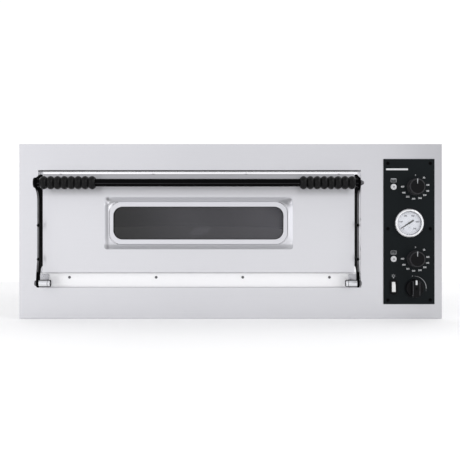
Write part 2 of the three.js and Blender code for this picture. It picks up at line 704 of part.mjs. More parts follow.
function controlPanel() {
  const { x, z, width, height } = PANEL;
  const face = rectangle(x - width / 2, x + width / 2, z - height / 2, z + height / 2);
  const holes = [UPPER_Z, LOWER_Z].flatMap((level) => [
    pegAhead(NECK, -1, 5, THERMOSTAT_X, level),
    pegAhead(NECK, -1, 5, LAMP_X, level),
  ]);
  return cut(
    slab(face, GAP, panelFront),
    ...holes,
    pegAhead(NECK, -1, 5, MAIN_SWITCH.x, MAIN_SWITCH.z),
    pegAhead(GAUGE.barrel + 2 * GAP, -1, 5, GAUGE.x, GAUGE.z, 24),
    block(ROCKER.x - 6.8, ROCKER.x + 6.8, -1, 5, ROCKER.z - 15.3, ROCKER.z + 15.3),
  );
}

// A switch body behind the panel: its threaded neck goes through the panel and its spindle
// reaches into the knob.
function switchBody(width, depth) {
  const [caseFront, neckEnd, spindleEnd] = [-6, panelFront - 0.5, 16];
  const neck = NECK - GAP;
  return join(
    block(-width / 2, width / 2, caseFront - depth, caseFront, -width / 2, width / 2),
    turnedAhead([
      [0, caseFront - 2], [neck, caseFront - 2], [neck, neckEnd], [SPINDLE, neckEnd],
      [SPINDLE, spindleEnd], [0, spindleEnd],
    ]),
  );
}

const knobFoot = panelFront + 0.7;
const rim = panelFront + GAP; // foot of a bezel that stands on the panel
const knobBore = SPINDLE + GAP;

function thermostatKnob() {
  const { radius, top } = KNOB;
  return turnedAhead([
    [0, 17], [knobBore, 17], [knobBore, knobFoot], [radius, knobFoot], [radius, knobFoot + 3],
    [radius - 0.8, knobFoot + 4.5], [radius - 1.2, top - 3], [radius - 2.4, top - 1],
    [radius - 5, top], [0, top],
  ], 24);
}

function mainSwitchKnob() {
  const skirt = turnedAhead([
    [0, knobFoot], [21.5, knobFoot], [21.5, knobFoot + 4], [19.5, knobFoot + 9], [0, knobFoot + 9],
  ], 24);
  const bar = centred(17, 41, 5);
  return cut(join(skirt, slab(bar, knobFoot + 5, KNOB.top - 1)), pegAhead(knobBore, 0, 17, 0, 0));
}

function switchSet(name, x, z, width, depth, knob) {
  const set = new THREE.Group();
  set.position.set(x, 0, z);
  oven.add(set);
  piece(set, `${name}_body`, switchBody(width, depth), 'blackPlastic');
  piece(set, `${name}_knob`, knob, 'blackPlastic');
}

piece(oven, 'control_panel', controlPanel(), 'panelBlack');
switchSet('upper_thermostat', THERMOSTAT_X, UPPER_Z, 44, 34, thermostatKnob());
switchSet('lower_thermostat', THERMOSTAT_X, LOWER_Z, 44, 34, thermostatKnob());
switchSet('main_switch', MAIN_SWITCH.x, MAIN_SWITCH.z, 40, 46, mainSwitchKnob());

for (const [name, z] of [['upper_indicator', UPPER_Z], ['lower_indicator', LOWER_Z]]) {
  const lens = turnedAhead([
    [0, -16], [NECK - GAP, -16], [NECK - GAP, panelFront + GAP], [7, panelFront + GAP],
    [7, panelFront + 2], [5.5, panelFront + 3.8], [0, panelFront + 4.5],
  ], 20);
  piece(oven, name, lens.translate(LAMP_X, 0, z), 'whitePlastic');
}

// ---------------------------------------------------------------- temperature gauge

const gauge = new THREE.Group();
gauge.position.set(GAUGE.x, 0, GAUGE.z);
oven.add(gauge);

piece(gauge, 'gauge_case', turnedAhead([
  [0, -22], [GAUGE.barrel, -22], [GAUGE.barrel, rim], [GAUGE.radius, rim], [GAUGE.radius, rim + 6],
  [GAUGE.radius - 3, rim + 9], [29, rim + 9], [29, rim + 7.6], [31, rim + 7.6], [31, rim + 5],
  [28.4, rim + 5], [28.4, -20.5], [0, -20.5],
], 24), 'chrome');
piece(gauge, 'gauge_lens', pegAhead(30.7, rim + 5.3, rim + 7.3, 0, 0, 24), 'clearGlass');
piece(gauge, 'gauge_dial', turnedAhead([
  [1.5, 4], [28, 4], [28, 5], [1.5, 5], [1.5, 4],
], 24), 'dial');

// The needle points along its own +x before it is turned to its reading in a cool room.
function gaugeNeedle() {
  const pointer = new THREE.Shape();
  pointer.moveTo(24, 0).lineTo(0, 0.9).lineTo(-4, 1.1).lineTo(-12, 0.8).lineTo(-12, -0.8);
  pointer.lineTo(-4, -1.1).lineTo(0, -0.9);
  const hub = turnedAhead([[0, -5], [1.1, -5], [1.1, 5.4], [2.6, 5.4], [2.6, 7.6], [0, 7.6]], 12);
  return join(slab(pointer, 5.8, 6.6), hub).rotateY(THREE.MathUtils.degToRad(ROOM_READING - 225));
}
piece(gauge, 'gauge_needle', gaugeNeedle(), 'blackSteel');

// ---------------------------------------------------------------- light switch

const rocker = new THREE.Group();
rocker.position.set(ROCKER.x, 0, ROCKER.z);
oven.add(rocker);

const pivotAhead = rim - 1.6;
const rockerBody = block(-6.5, 6.5, -22, rim + 1, -15, 15);
const rockerPocket = block(-4.8, 4.8, -5, rim + 4, -13.9, 13.9);
const rockerBezel = slab(centred(17, 33.5, 1.5), rim, rim + 3, 2);
piece(rocker, 'rocker_housing', cut(join(rockerBezel, rockerBody), rockerPocket), 'blackPlastic');

function rockerLens() {
  const outline = new THREE.Shape();
  outline.moveTo(-2, -9).lineTo(4.2, -12.8).lineTo(5.6, 0).lineTo(4.2, 12.8).lineTo(-2, 9);
  return sideSlab(outline, -4.4, 4.4).rotateX(THREE.MathUtils.degToRad(-ROCKER.tilt));
}
piece(rocker, 'light_rocker', rockerLens().translate(0, -pivotAhead, 0), 'whitePlastic');

// ---------------------------------------------------------------- electrical fittings

function terminalBlock() {
  const [x, back, z] = [WALL_X + SHEET + GAP, -740, 40];
  const ways = 6;
  const pitch = 14;
  const slots = [];
  for (let way = 0; way <= ways; way += 1) {
    const start = back + way * pitch - 1;
    slots.push(block(x + 12, x + 30, start, start + 2, z - 1, z + 31));
  }
  return cut(block(x, x + 26, back - 6, back + ways * pitch + 6, z, z + 30), ...slots);
}

function cableGland() {
  const nutRadius = 14;
  const nut = turnedAhead([
    [0, rearFace - 8], [nutRadius, rearFace - 8], [nutRadius, rearFace - GAP], [0, rearFace - GAP],
  ], 6);
  const shank = turnedAhead([
    [0, rearFace + 12], [10, rearFace + 12], [10, rearFace - 8], [12.5, rearFace - 8],
    [12.5, rearFace - 17], [9, rearFace - REAR_REACH], [0, rearFace - REAR_REACH],
  ]);
  const bore = pegAhead(GLAND.bore, rearFace - REAR_REACH - 1, rearFace + 13, 0, 0, 20);
  return cut(join(nut, shank), bore).translate(GLAND.x, 0, GLAND.z);
}

piece(oven, 'terminal_block', terminalBlock(), 'whitePlastic');
piece(oven, 'cable_gland', cableGland(), 'blackPlastic');

export default oven;
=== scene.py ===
"""Looks of a single-deck bakery oven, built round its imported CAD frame.

Blender units are metres. +Z is up and the front faces -Y. Profiles and small details are
written in millimetres and scaled by MM where they become vertices.
"""
import json
from math import atan2, cos, hypot, pi, radians, sin, tan, tau

import bmesh
import bpy
from mathutils import Matrix, Vector


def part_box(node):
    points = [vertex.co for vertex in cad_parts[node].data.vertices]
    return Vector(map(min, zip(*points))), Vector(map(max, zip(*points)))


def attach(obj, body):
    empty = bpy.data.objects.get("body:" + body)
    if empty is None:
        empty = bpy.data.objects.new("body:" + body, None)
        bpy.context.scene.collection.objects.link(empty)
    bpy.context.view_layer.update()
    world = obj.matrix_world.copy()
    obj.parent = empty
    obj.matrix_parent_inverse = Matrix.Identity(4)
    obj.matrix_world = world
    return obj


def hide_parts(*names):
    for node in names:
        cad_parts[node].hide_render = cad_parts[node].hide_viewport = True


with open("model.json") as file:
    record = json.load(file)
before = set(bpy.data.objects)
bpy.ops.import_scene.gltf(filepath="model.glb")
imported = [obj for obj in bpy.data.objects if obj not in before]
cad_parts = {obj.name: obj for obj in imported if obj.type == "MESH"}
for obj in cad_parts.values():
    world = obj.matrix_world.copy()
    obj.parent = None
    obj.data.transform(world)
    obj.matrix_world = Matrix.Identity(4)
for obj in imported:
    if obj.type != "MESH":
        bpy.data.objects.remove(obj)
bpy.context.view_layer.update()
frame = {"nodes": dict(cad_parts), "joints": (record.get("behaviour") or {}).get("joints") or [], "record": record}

MM = 0.001
NODES = frame["nodes"]
JOINTS = {joint["name"]: joint for joint in frame["joints"]}
BODIES = frame["record"]["behaviour"]["bodies"]
BODY_OF = {node: body for body, nodes in BODIES.items() for node in nodes}
SLOT_OF = {part["node"]: part["material_slot"] for part in frame["record"]["subparts"]}

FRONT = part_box("front_panel")[0].y
PANEL_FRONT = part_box("control_panel")[0].y
HINGE = Vector(JOINTS["door_hinge"]["pos_m"])


def middle(node):
    low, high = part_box(node)
    return (low + high) / 2


# ---------------- camera, floor and light

CAMERA_DISTANCE = 1.78
CAMERA_HEIGHT = 0.2097
CAMERA_LENS = 58.9
CAMERA_SHIFT = -0.0012
ROOM_WHITE = (1.06, 1.06, 1.06, 1)
FLOOR_SIDE, FLOOR_FRONT, FLOOR_BACK = 1.7, -2.4, 0.9
FLOOR_LEVEL = -0.0005  # just under the oven's base


def add_to_scene(item, place=(0, 0, 0)):
    item.location = place
    bpy.context.scene.collection.objects.link(item)
    return item


def add_camera():
    data = bpy.data.cameras.new("camera")
    data.lens = CAMERA_LENS
    data.sensor_width = 36
    data.shift_x = CAMERA_SHIFT
    place = (0, FRONT - CAMERA_DISTANCE, CAMERA_HEIGHT)
    camera = add_to_scene(bpy.data.objects.new("camera", data), place)
    camera.rotation_euler = (radians(90), 0, 0)
    bpy.context.scene.camera = camera


def add_softbox(name, place, side, power):
    data = bpy.data.lights.new(name, "AREA")
    data.shape = "RECTANGLE"
    data.size = data.size_y = side
    data.energy = power
    light = add_to_scene(bpy.data.objects.new(name, data), place)
    towards = Vector((0, 0, CAMERA_HEIGHT)) - light.location
    light.rotation_euler = towards.to_track_quat("-Z", "Y").to_euler()


def feed(tree, node, inputs):
    """Sets each input socket to a value, or links it to the output socket that is given."""
    for socket, value in inputs.items():
        if isinstance(value, bpy.types.NodeSocket):
            tree.links.new(value, node.inputs[socket])
        else:
            node.inputs[socket].default_value = value


def add_node(tree, kind, inputs=None, **settings):
    made = tree.nodes.new("ShaderNode" + kind)
    for name, value in settings.items():
        setattr(made, name, value)
    feed(tree, made, inputs or {})
    return made


def coordinate(tree, space):
    return add_node(tree, "TexCoord").outputs[space]


def ramp(tree, value, stops):
    """A grey that follows a value through (place, grey) stops."""
    low, high = stops[0][0], stops[-1][0]
    limits = add_node(tree, "MapRange", {"From Min": low, "From Max": high, "Value": value})
    greys = add_node(tree, "ValToRGB", {"Fac": limits.outputs["Result"]})
    greys.color_ramp.interpolation = "EASE"
    elements = greys.color_ramp.elements
    while len(elements) < len(stops):
        elements.new(0.5)
    for element, (place, grey) in zip(elements, stops):
        element.position = (place - low) / (high - low)
        element.color = (grey, grey, grey * 1.012, 1)
    return greys.outputs["Color"]


def mixed(tree, factor, one, other, blend="MIX"):
    inputs = {"Factor": factor, "A": one, "B": other}
    return add_node(tree, "Mix", inputs, data_type="RGBA", blend_type=blend).outputs["Result"]


def add_world():
    """A white room. What the steel mirrors of it in front changes gently from side to side."""
    world = bpy.data.worlds.new("studio")
    world.use_nodes = True
    tree = world.node_tree
    split = add_node(tree, "SeparateXYZ", {"Vector": coordinate(tree, "Generated")}).outputs
    across = ramp(tree, split["X"], [
        (-1.0, 0.8), (-0.5, 1.0), (-0.22, 1.08), (0.0, 0.93), (0.19, 1.0), (0.29, 0.6), (0.45, 0.5),
        (0.7, 1.1), (1.0, 1.6)])
    upwards = ramp(tree, split["Z"], [(-1.0, 0.8), (-0.2, 0.97), (0.15, 1.0), (0.5, 0.84), (1.0, 0.66)])
    behind = ramp(tree, split["Y"], [(-0.1, 0.0), (0.5, 1.0)])
    seen = add_node(tree, "LightPath").outputs["Is Camera Ray"]
    plain = add_node(tree, "Math", {0: behind, 1: seen}, operation="MAXIMUM").outputs["Value"]
    room = mixed(tree, plain, mixed(tree, 1.0, across, upwards, "MULTIPLY"), ROOM_WHITE)
    feed(tree, tree.nodes["Background"], {"Color": room})
    bpy.context.scene.world = world


def add_floor():
    mesh = bpy.data.meshes.new("floor")
    corners = [(-FLOOR_SIDE, FLOOR_FRONT, 0), (FLOOR_SIDE, FLOOR_FRONT, 0),
               (FLOOR_SIDE, FLOOR_BACK, 0), (-FLOOR_SIDE, FLOOR_BACK, 0)]
    mesh.from_pydata(corners, [], [(0, 1, 2, 3)])
    mesh.materials.append(surface((0.94,) * 3, (0.97,) * 3, 3, (0.8, 0.9), specular=0.1,
                                  Emission_Strength=0.14, Emission_Color=(1, 1, 1, 1)))
    add_to_scene(bpy.data.objects.new("floor", mesh), (0, 0, FLOOR_LEVEL))


# ---------------- materials

ACROSS_BRUSHING = 1500  # cycles of the grain per metre
ALONG_BRUSHING = 5


def noise(tree, place, grain, detail, distortion=0.0):
    """A noise field with its own number of cycles per metre along X, Y and Z."""
    mapping = add_node(tree, "Mapping", {"Vector": place, "Scale": grain})
    inputs = {"Vector": mapping.outputs["Vector"], "Scale": 1.0, "Detail": detail, "Distortion": distortion}
    return add_node(tree, "TexNoise", inputs).outputs["Fac"]


def surface(dark, light, grain, rough, metal=0.0, specular=0.5, bump=0.0, depth=0.0001,
            patches=4.0, distortion=0.0, brushing=None, **extra):
    """A shader whose colour and roughness follow a fine grain and broad, faint patches.

    grain is in cycles per metre, one number or one for each axis. brushing names the axis
    round which the highlights are drawn out, across the grain. extra holds more sockets.
    """
    made = bpy.data.materials.new("finish")
    made.use_nodes = True
    tree = made.node_tree
    place = coordinate(tree, "Object")
    fine = noise(tree, place, grain if isinstance(grain, tuple) else (grain,) * 3, 5.0, distortion)
    broad = noise(tree, place, (patches,) * 3, 3.0)
    halved = add_node(tree, "Math", {0: broad, 1: 0.5}, operation="MULTIPLY").outputs["Value"]
    both = add_node(tree, "Math", {0: fine, 1: 0.5, 2: halved}, operation="MULTIPLY_ADD").outputs["Value"]
    spread = add_node(tree, "MapRange", {"From Min": 0.3, "From Max": 0.7, "Value": both}).outputs["Result"]
    colours = add_node(tree, "ValToRGB", {"Fac": spread})
    for element, colour in zip(colours.color_ramp.elements, (dark, light)):
        element.color = (*colour, 1)
    roughness = add_node(tree, "MapRange", {"To Min": rough[0], "To Max": rough[1], "Value": spread})
    shader = tree.nodes["Principled BSDF"]
    feed(tree, shader, {"Metallic": metal, "Specular IOR Level": specular,
                        "Base Color": colours.outputs["Color"], "Roughness": roughness.outputs["Result"]})
    feed(tree, shader, {socket.replace("_", " "): value for socket, value in extra.items()})
    if brushing:
        tangent = add_node(tree, "Tangent", direction_type="RADIAL", axis=brushing)
        feed(tree, shader, {"Anisotropic": 0.65, "Tangent": tangent.outputs["Tangent"]})
    if bump > 0:
        relief = add_node(tree, "Bump", {"Strength": bump, "Distance": depth, "Height": fine})
        feed(tree, shader, {"Normal": relief.outputs["Normal"]})
    return made


def graded(made, axis, stops):
    """Tones a shader's colour along one axis, through (place in metres, grey) stops."""
    tree = made.node_tree
    split = add_node(tree, "SeparateXYZ", {"Vector": coordinate(tree, "Object")}).outputs
    colour = tree.nodes["Principled BSDF"].inputs["Base Color"]
    toned = mixed(tree, 1.0, colour.links[0].from_socket, ramp(tree, split[axis], stops), "MULTIPLY")
    tree.links.new(toned, colour)
    return made


def brushed(grey, along="X", rough=(0.27, 0.33)):
    low, high = grey * 0.975, grey * 1.025
    grain = tuple(ALONG_BRUSHING if axis == along else ACROSS_BRUSHING for axis in "XYZ")
    return surface((low, low, low * 1.02), (high, high, high * 1.02), grain, rough,
                   metal=0.95, bump=0.08, depth=0.00005, patches=3.0, brushing=along)


def black(base, grain, rough, specular, bump=0.1, spread=0.35, tint=(1.0, 1.0, 1.08)):
    """A dark finish with little gloss of its own."""
    low = tuple(base * (1 - spread) * share for share in tint)
    high = tuple(base * (1 + spread) * share for share in tint)
    return surface(low, high, grain, rough, specular=specular, bump=bump)


def glass_with_painted_glare():
    """Dark glass whose colour is painted lighter towards its right end: a painted reflection."""
    made = surface((0.86, 0.84, 0.98), (0.92, 0.9, 1.0), 30, (0.02, 0.035), patches=6.0,
                   IOR=1.5, Transmission_Weight=0.5)
    low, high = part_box("window_outer_glass")
    return graded(made, "X", [(low.x, 0.006), ((low.x + high.x) / 2, 0.075), (high.x, 0.115)])


def pressed_steel():
    """Satin steel with painted reflections: darker along the window surround's bottom slope and in a band down its
    left slope, where the recess is mirrored.
    """
    made = surface((0.71, 0.71, 0.722), (0.73, 0.73, 0.743), (5, 60, 60), (0.36, 0.4),
                   metal=0.95, patches=3.0)
    graded(made, "Z", [(0.164, 0.64), (0.172, 0.68), (0.179, 1.0), (0.288, 1.0)])
    return graded(made, "X", [(-0.302, 0.85), (-0.298, 1.0), (-0.2925, 0.7), (-0.2895, 0.6),
                              (-0.287, 0.85), (-0.2848, 1.0), (0.16, 1.0)])


MATERIALS = {
    "stainless_steel": brushed(0.72),
    # Painted shade: the front's steel darkens towards its right end.
    "front_face_shaded": graded(brushed(0.72), "X", [(-0.5, 1.0), (0.36, 0.98), (0.482, 0.88), (0.5, 0.86)]),
    # Painted shade on the door's steel: a painted shadow just below the handle bar, darker again above the bar,
    # and darkest at the door's top edge.
    "door_face_shaded": graded(brushed(0.73), "Z", [
        (0.109, 1.0), (0.286, 1.0), (0.298, 0.89), (0.308, 0.89), (0.318, 0.97), (0.33, 0.66),
        (0.3395, 0.63), (0.3412, 0.36), (0.342, 0.3)]),
    "stainless_deep": brushed(0.7, "Y"),
    # Near-black steel used as painted shade: under the recess ceiling and round the window ring's groove.
    "painted_shade_steel": brushed(0.022, rough=(0.5, 0.6)),
    "pressed_frame_shaded": pressed_steel(),
    "bright_stainless": surface(
        (0.95, 0.95, 0.96), (0.98, 0.98, 0.985), (8, 500, 500), (0.34, 0.4), metal=0.35, patches=3.0),
    "mirror_stainless": surface(
        (0.95, 0.95, 0.96), (0.98, 0.98, 0.985), (30, 400, 400), (0.1, 0.14), metal=1.0, patches=3.0),
    "dull_stainless": surface(
        (0.4, 0.4, 0.407), (0.46, 0.46, 0.468), (12, 300, 300), (0.3, 0.36), metal=0.9, bump=0.03,
        patches=3.0),
    "galvanised_steel": surface(
        (0.36, 0.37, 0.39), (0.56, 0.57, 0.59), 48, (0.38, 0.55), metal=1.0, bump=0.05, distortion=1.5),
    "chamber_steel": surface(
        (0.26, 0.22, 0.17), (0.46, 0.44, 0.42), (14, 90, 90), (0.36, 0.5), metal=1.0, bump=0.08,
        patches=5.0),
    "chromed_steel": surface((0.74, 0.75, 0.77), (0.84, 0.85, 0.87), 60, (0.12, 0.2), metal=1.0),
    "polished_rim": surface((0.9, 0.9, 0.92), (0.96, 0.96, 0.97), 60, (0.22, 0.3), metal=0.7),
    "element_steel": surface(
        (0.05, 0.042, 0.04), (0.13, 0.11, 0.1), (160, 40, 160), (0.5, 0.65), metal=0.8, bump=0.2),
    "screw_steel": surface((0.36, 0.36, 0.38), (0.56, 0.56, 0.58), 500, (0.24, 0.36), metal=1.0, bump=0.1),
    "dark_nut": surface((0.1, 0.1, 0.105), (0.18, 0.18, 0.185), 300, (0.25, 0.38), metal=0.9, bump=0.1),
    # Lighter grey for the arms' front edges: a painted highlight.
    "arm_front_highlight": surface(
        (0.02, 0.02, 0.021), (0.14, 0.14, 0.145), (160, 160, 60), (0.4, 0.5), specular=0.3, bump=0.15),
    # Lighter black for the edges of the main switch's grip: a painted highlight.
    "grip_edge_highlight": surface((0.06, 0.06, 0.065), (0.16, 0.16, 0.17), 300, (0.3, 0.4)),
    "black_steel": black(0.0015, 700, (0.2, 0.28), 0.035, bump=0.04),
    # Lighter black for a line along the handle bar: a painted highlight.
    "bar_highlight_line": black(0.034, 700, (0.3, 0.4), 0.1),
    "arm_steel": black(0.002, 500, (0.5, 0.6), 0.004, bump=0.12),
    "panel_black": black(0.0058, 1100, (0.42, 0.52), 0.12, tint=(0.66, 1.04, 1.22)),
    "black_plastic": black(0.0045, 900, (0.36, 0.46), 0.1, tint=(1.0, 1.0, 1.15)),
    # Lighter black for the thermostat knobs' rims: a painted highlight.
    "knob_rim_highlight": black(0.02, 900, (0.36, 0.46), 0.3, tint=(1.0, 1.0, 1.1)),
    "black_grip": black(0.0034, 800, (0.3, 0.44), 0.16, bump=0.4, spread=0.6),
    # Black for screws, studs and the needle; also a painted dark reflection on the hinge barrels.
    "black_parts_and_reflection": black(0.0012, 900, (0.4, 0.5), 0.04),
    "white_plastic": surface((0.76, 0.76, 0.75), (0.83, 0.83, 0.82), 300, (0.3, 0.4), bump=0.05),
    "clear_white": surface((0.6, 0.61, 0.62), (0.68, 0.69, 0.7), 200, (0.2, 0.3), bump=0.05),
    "lamp_core": surface((0.24, 0.24, 0.25), (0.32, 0.32, 0.33), 200, (0.2, 0.3), bump=0.05),
    "white_print": surface((0.6, 0.61, 0.62), (0.7, 0.71, 0.72), 2500, (0.5, 0.6), bump=0.05, specular=0.2),
    "grey_print": surface((0.3, 0.31, 0.32), (0.4, 0.41, 0.42), 2500, (0.5, 0.6), bump=0.05, specular=0.2),
    "dark_print": surface((0.02, 0.02, 0.03), (0.05, 0.05, 0.07), 2500, (0.5, 0.6), specular=0.2),
    "dial_white": surface((0.74, 0.75, 0.8), (0.8, 0.81, 0.86), 400, (0.5, 0.6), specular=0.3),
    "window_glass": glass_with_painted_glare(),
    "clear_glass": surface(
        (0.78, 0.82, 0.82), (0.86, 0.89, 0.89), 40, (0.02, 0.04), specular=1.0, patches=6.0, Alpha=0.08),
    "frosted_glass": surface(
        (0.78, 0.77, 0.72), (0.85, 0.84, 0.8), 120, (0.3, 0.4), bump=0.05, Transmission_Weight=0.4),
    "hearth_stone": surface(
        (0.36, 0.27, 0.18), (0.68, 0.57, 0.42), 260, (0.8, 0.95), bump=0.5, depth=0.0004, patches=9.0,
        specular=0.2),
    "mineral_wool": surface(
        (0.5, 0.43, 0.24), (0.74, 0.68, 0.48), (60, 300, 60), (0.9, 1.0), bump=0.8, depth=0.002,
        specular=0.1),
    "rope_seal": surface(
        (0.5, 0.47, 0.4), (0.74, 0.71, 0.64), 900, (0.85, 0.95), bump=0.5, depth=0.0003, specular=0.15),
}
for finish, made in MATERIALS.items():
    made.name = f"{finish}_finish"


# ---------------- mesh tools

def show(mesh, finish, node=None, body="casing", sharp=32.0, slot=None, others=()):
    """Adds a mesh as a piece of its name. It stands for a CAD node, or rides on the body named.

    others holds (finish, test) pairs: the faces that pass a test take that finish instead.
    """
    mesh.materials.clear()
    mesh.materials.append(MATERIALS[finish])
    mesh.polygons.foreach_set("material_index", [0] * len(mesh.polygons))
    for index, (other, test) in enumerate(others, start=1):
        mesh.materials.append(MATERIALS[other])
        for face in mesh.polygons:
            if test(face):
                face.material_index = index
    mesh.shade_smooth()
    mesh.set_sharp_from_angle(angle=radians(sharp))
    piece = add_to_scene(bpy.data.objects.new(mesh.name, mesh))
    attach(piece, BODY_OF[node] if node else body)
    if node:
        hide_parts(node)
    return piece


def finish_mesh(bm, name, matrix=None):
    if matrix is not None:
        bm.transform(matrix)
    bmesh.ops.remove_doubles(bm, verts=bm.verts, dist=1e-7)
    bmesh.ops.recalc_face_normals(bm, faces=bm.faces)
    mesh = bpy.data.meshes.new(name)
    bm.to_mesh(mesh)
    bm.free()
    return mesh


def join_rings(bm, rings, closed=False):
    """Faces from each ring of vertices to the next. A ring of one vertex is a tip."""
    for one, two in list(zip(rings, rings[1:])) + ([(rings[-1], rings[0])] if closed else []):
        count = max(len(one), len(two))
        for step in range(count):
            nxt = (step + 1) % count
            corners = [one[step % len(one)], one[nxt % len(one)], two[nxt % len(two)], two[step % len(two)]]
            unique = list(dict.fromkeys(corners))
            if len(unique) > 2:
                bm.faces.new(unique)


def soften(profile, steps=5):
    """Rounds each corner of a profile that carries a third number, its radius."""
    points = []
    for index, (x, y, *radius) in enumerate(profile):
        here = Vector((x, y))
        if not radius:
            points.append(here)
            continue
        before, after = ((Vector(profile[other % len(profile)][:2]) - here).normalized()
                         for other in (index - 1, index + 1))
        half = before.angle(after) / 2
        centre = here + (before + after).normalized() * radius[0] / sin(half)
        start, end = (here + way * radius[0] / tan(half) - centre for way in (before, after))
        turn = atan2(start.x * end.y - start.y * end.x, start.dot(end))
        for step in range(steps + 1):
            right, up = cos(turn * step / steps), sin(turn * step / steps)
            points.append(centre + Vector((start.x * right - start.y * up, start.x * up + start.y * right)))
    return points


AXES = {
    "ahead": Matrix(((1, 0, 0), (0, 0, -1), (0, 1, 0))).to_4x4(),  # turns z into -y
    "across": Matrix(((0, 0, 1), (1, 0, 0), (0, 1, 0))).to_4x4(),  # turns z into x
    "up": Matrix.Identity(4),
}


def turned(name, profile, axis, place, steps=64, sides=None):
    """A (radius, along) profile in millimetres, turned about a line through a place.

    sides(angle) scales the radius, for flutes and flats.
    """
    bm = bmesh.new()
    rings = []
    for radius, along in soften(profile):
        if radius < 1e-6:
            rings.append([bm.verts.new((0, 0, along * MM))])
            continue
        ring = []
        for step in range(steps):
            angle = tau * step / steps
            swell = sides(angle) if sides else 1.0
            ring.append(bm.verts.new((
                radius * swell * cos(angle) * MM, radius * swell * sin(angle) * MM, along * MM)))
        rings.append(ring)
    join_rings(bm, rings)
    return finish_mesh(bm, name, Matrix.Translation(place) @ AXES[axis])


def prism(name, outline, start, end, bevel=0.0, segments=2, along=1, matrix=None):
    """An outline in metres made solid between two places along an axis, with softened edges.

    The outline holds (x, z) points where along is 1, and (y, z) points where it is 0.
    """
    bm = bmesh.new()
    face = bm.faces.new([bm.verts.new((*point[:along], start, *point[along:])) for point in outline])
    grown = bmesh.ops.extrude_face_region(bm, geom=[face])
    moved = [item for item in grown["geom"] if isinstance(item, bmesh.types.BMVert)]
    way = Vector((0, 0, 0))
    way[along] = end - start
    bmesh.ops.translate(bm, verts=moved, vec=way)
    if bevel:
        rim = [edge for edge in bm.edges if abs(edge.verts[0].co[along] - edge.verts[1].co[along]) < 1e-9]
        bmesh.ops.bevel(bm, geom=rim, offset=bevel, segments=segments, affect="EDGES", profile=0.5)
    return finish_mesh(bm, name, matrix)


def rounded_rectangle(width, height, radius, steps, centre):
    points = []
    for corner, (sideways, upwards) in enumerate(((1, 1), (-1, 1), (-1, -1), (1, -1))):
        for step in range(steps + 1):
            angle = (corner + step / steps) * pi / 2
            points.append((centre[0] + sideways * (width / 2 - radius) + radius * cos(angle),
                           centre[1] + upwards * (height / 2 - radius) + radius * sin(angle)))
    return points


def frame_mesh(name, loops):
    """Joins loops of points, each ((x, z) points, y), one to the next all the way round."""
    bm = bmesh.new()
    join_rings(bm, [[bm.verts.new((x, y, z)) for x, z in points] for points, y in loops], closed=True)
    return finish_mesh(bm, name)


def swept(name, path, radius, sides, closed=False, swell=None):
    """A round bar along a path of points in metres. swell(step, angle) scales its radius."""
    bm = bmesh.new()
    count = len(path)
    rings = []
    for index, point in enumerate(path):
        before = path[index - 1] if index or closed else point
        after = path[(index + 1) % count] if index < count - 1 or closed else point
        forward = (after - before).normalized()
        side = forward.cross(Vector((0, 0, 1)))
        side = (side if side.length > 1e-4 else forward.cross(Vector((0, 1, 0)))).normalized()
        up = side.cross(forward)
        ring = []
        for step in range(sides):
            angle = tau * step / sides
            reach = radius * (swell(index, angle) if swell else 1.0)
            ring.append(bm.verts.new(point + (side * cos(angle) + up * sin(angle)) * reach))
        rings.append(ring)
    join_rings(bm, rings, closed)
    if not closed:
        bm.faces.new(rings[0])
        bm.faces.new(rings[-1])
    return finish_mesh(bm, name)


def gathered(name, meshes):
    """One mesh from several."""
    bm = bmesh.new()
    for mesh in meshes:
        bm.from_mesh(mesh)
        bpy.data.meshes.remove(mesh)
    mesh = bpy.data.meshes.new(name)
    bm.to_mesh(mesh)
    bm.free()
    return mesh


def spun(name, profile, axis, place, finish, node=None, steps=64, sides=None, **look):
    """Shows a turned mesh as a piece."""
    show(turned(name, profile, axis, place, steps, sides), finish, node, **look)


def assembled(name, axis, place, parts):
    """One mesh from turned parts, each its profile and steps, and its sides if it has any."""
    return gathered(name, [turned("part", profile, axis, place, *rest) for profile, *rest in parts])


# ---------------- pieces refined from CAD sheets

def refined(node, bevel, finish=None, name=None, segments=2, others=()):
    """Takes a CAD node's own shape, merges its flat facets and rounds its edges."""
    bm = bmesh.new()
    bm.from_mesh(NODES[node].data)
    bmesh.ops.remove_doubles(bm, verts=bm.verts, dist=1e-6)
    bmesh.ops.dissolve_limit(bm, angle_limit=radians(0.6), verts=bm.verts, edges=bm.edges)
    mesh = finish_mesh(bm, name or node + "_sheet")
    piece = show(mesh, finish or SLOT_OF[node], node, others=others)
    rounding = piece.modifiers.new("edges", "BEVEL")
    rounding.width = bevel * MM
    rounding.segments = segments
    rounding.limit_method = "ANGLE"
    rounding.angle_limit = radians(35)
    rounding.harden_normals = True


def casing_pieces():
    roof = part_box("door_outer_skin")[1].z
    # The recess ceiling's underside above the door takes near-black steel: painted shade.
    refined("front_panel", 0.6, "front_face_shaded", others=[
        ("painted_shade_steel", lambda face: face.normal.z < -0.8 and face.center.z > roof)])
    for node, bevel, finish, segments in (
            ("left_side_panel", 0.5, "stainless_deep", 2),
            ("right_side_panel", 0.5, "stainless_deep", 2),
            ("top_cover", 0.5, "stainless_deep", 2),
            ("rear_panel", 0.4, None, 2),
            ("base_pan", 0.4, None, 2),
            ("sill_plate", 0.4, "bright_stainless", 2),
            ("chamber_front_frame", 0.4, "mirror_stainless", 2),
            ("door_outer_skin", 1.1, "door_face_shaded", 3),
            ("door_inner_liner", 0.6, None, 2),
            ("control_panel", 0.5, None, 2),
            ("terminal_block", 0.8, None, 2)):
        refined(node, bevel, finish, segments=segments)
    for side in ("left", "right"):
        refined(f"hearth_stone_{side}", 2, segments=3, name=f"hearth_slab_{side}")
    for name in ("upper_thermostat", "lower_thermostat", "main_switch"):
        refined(f"{name}_body", 0.8, name=f"{name}_case")


# ---------------- fasteners

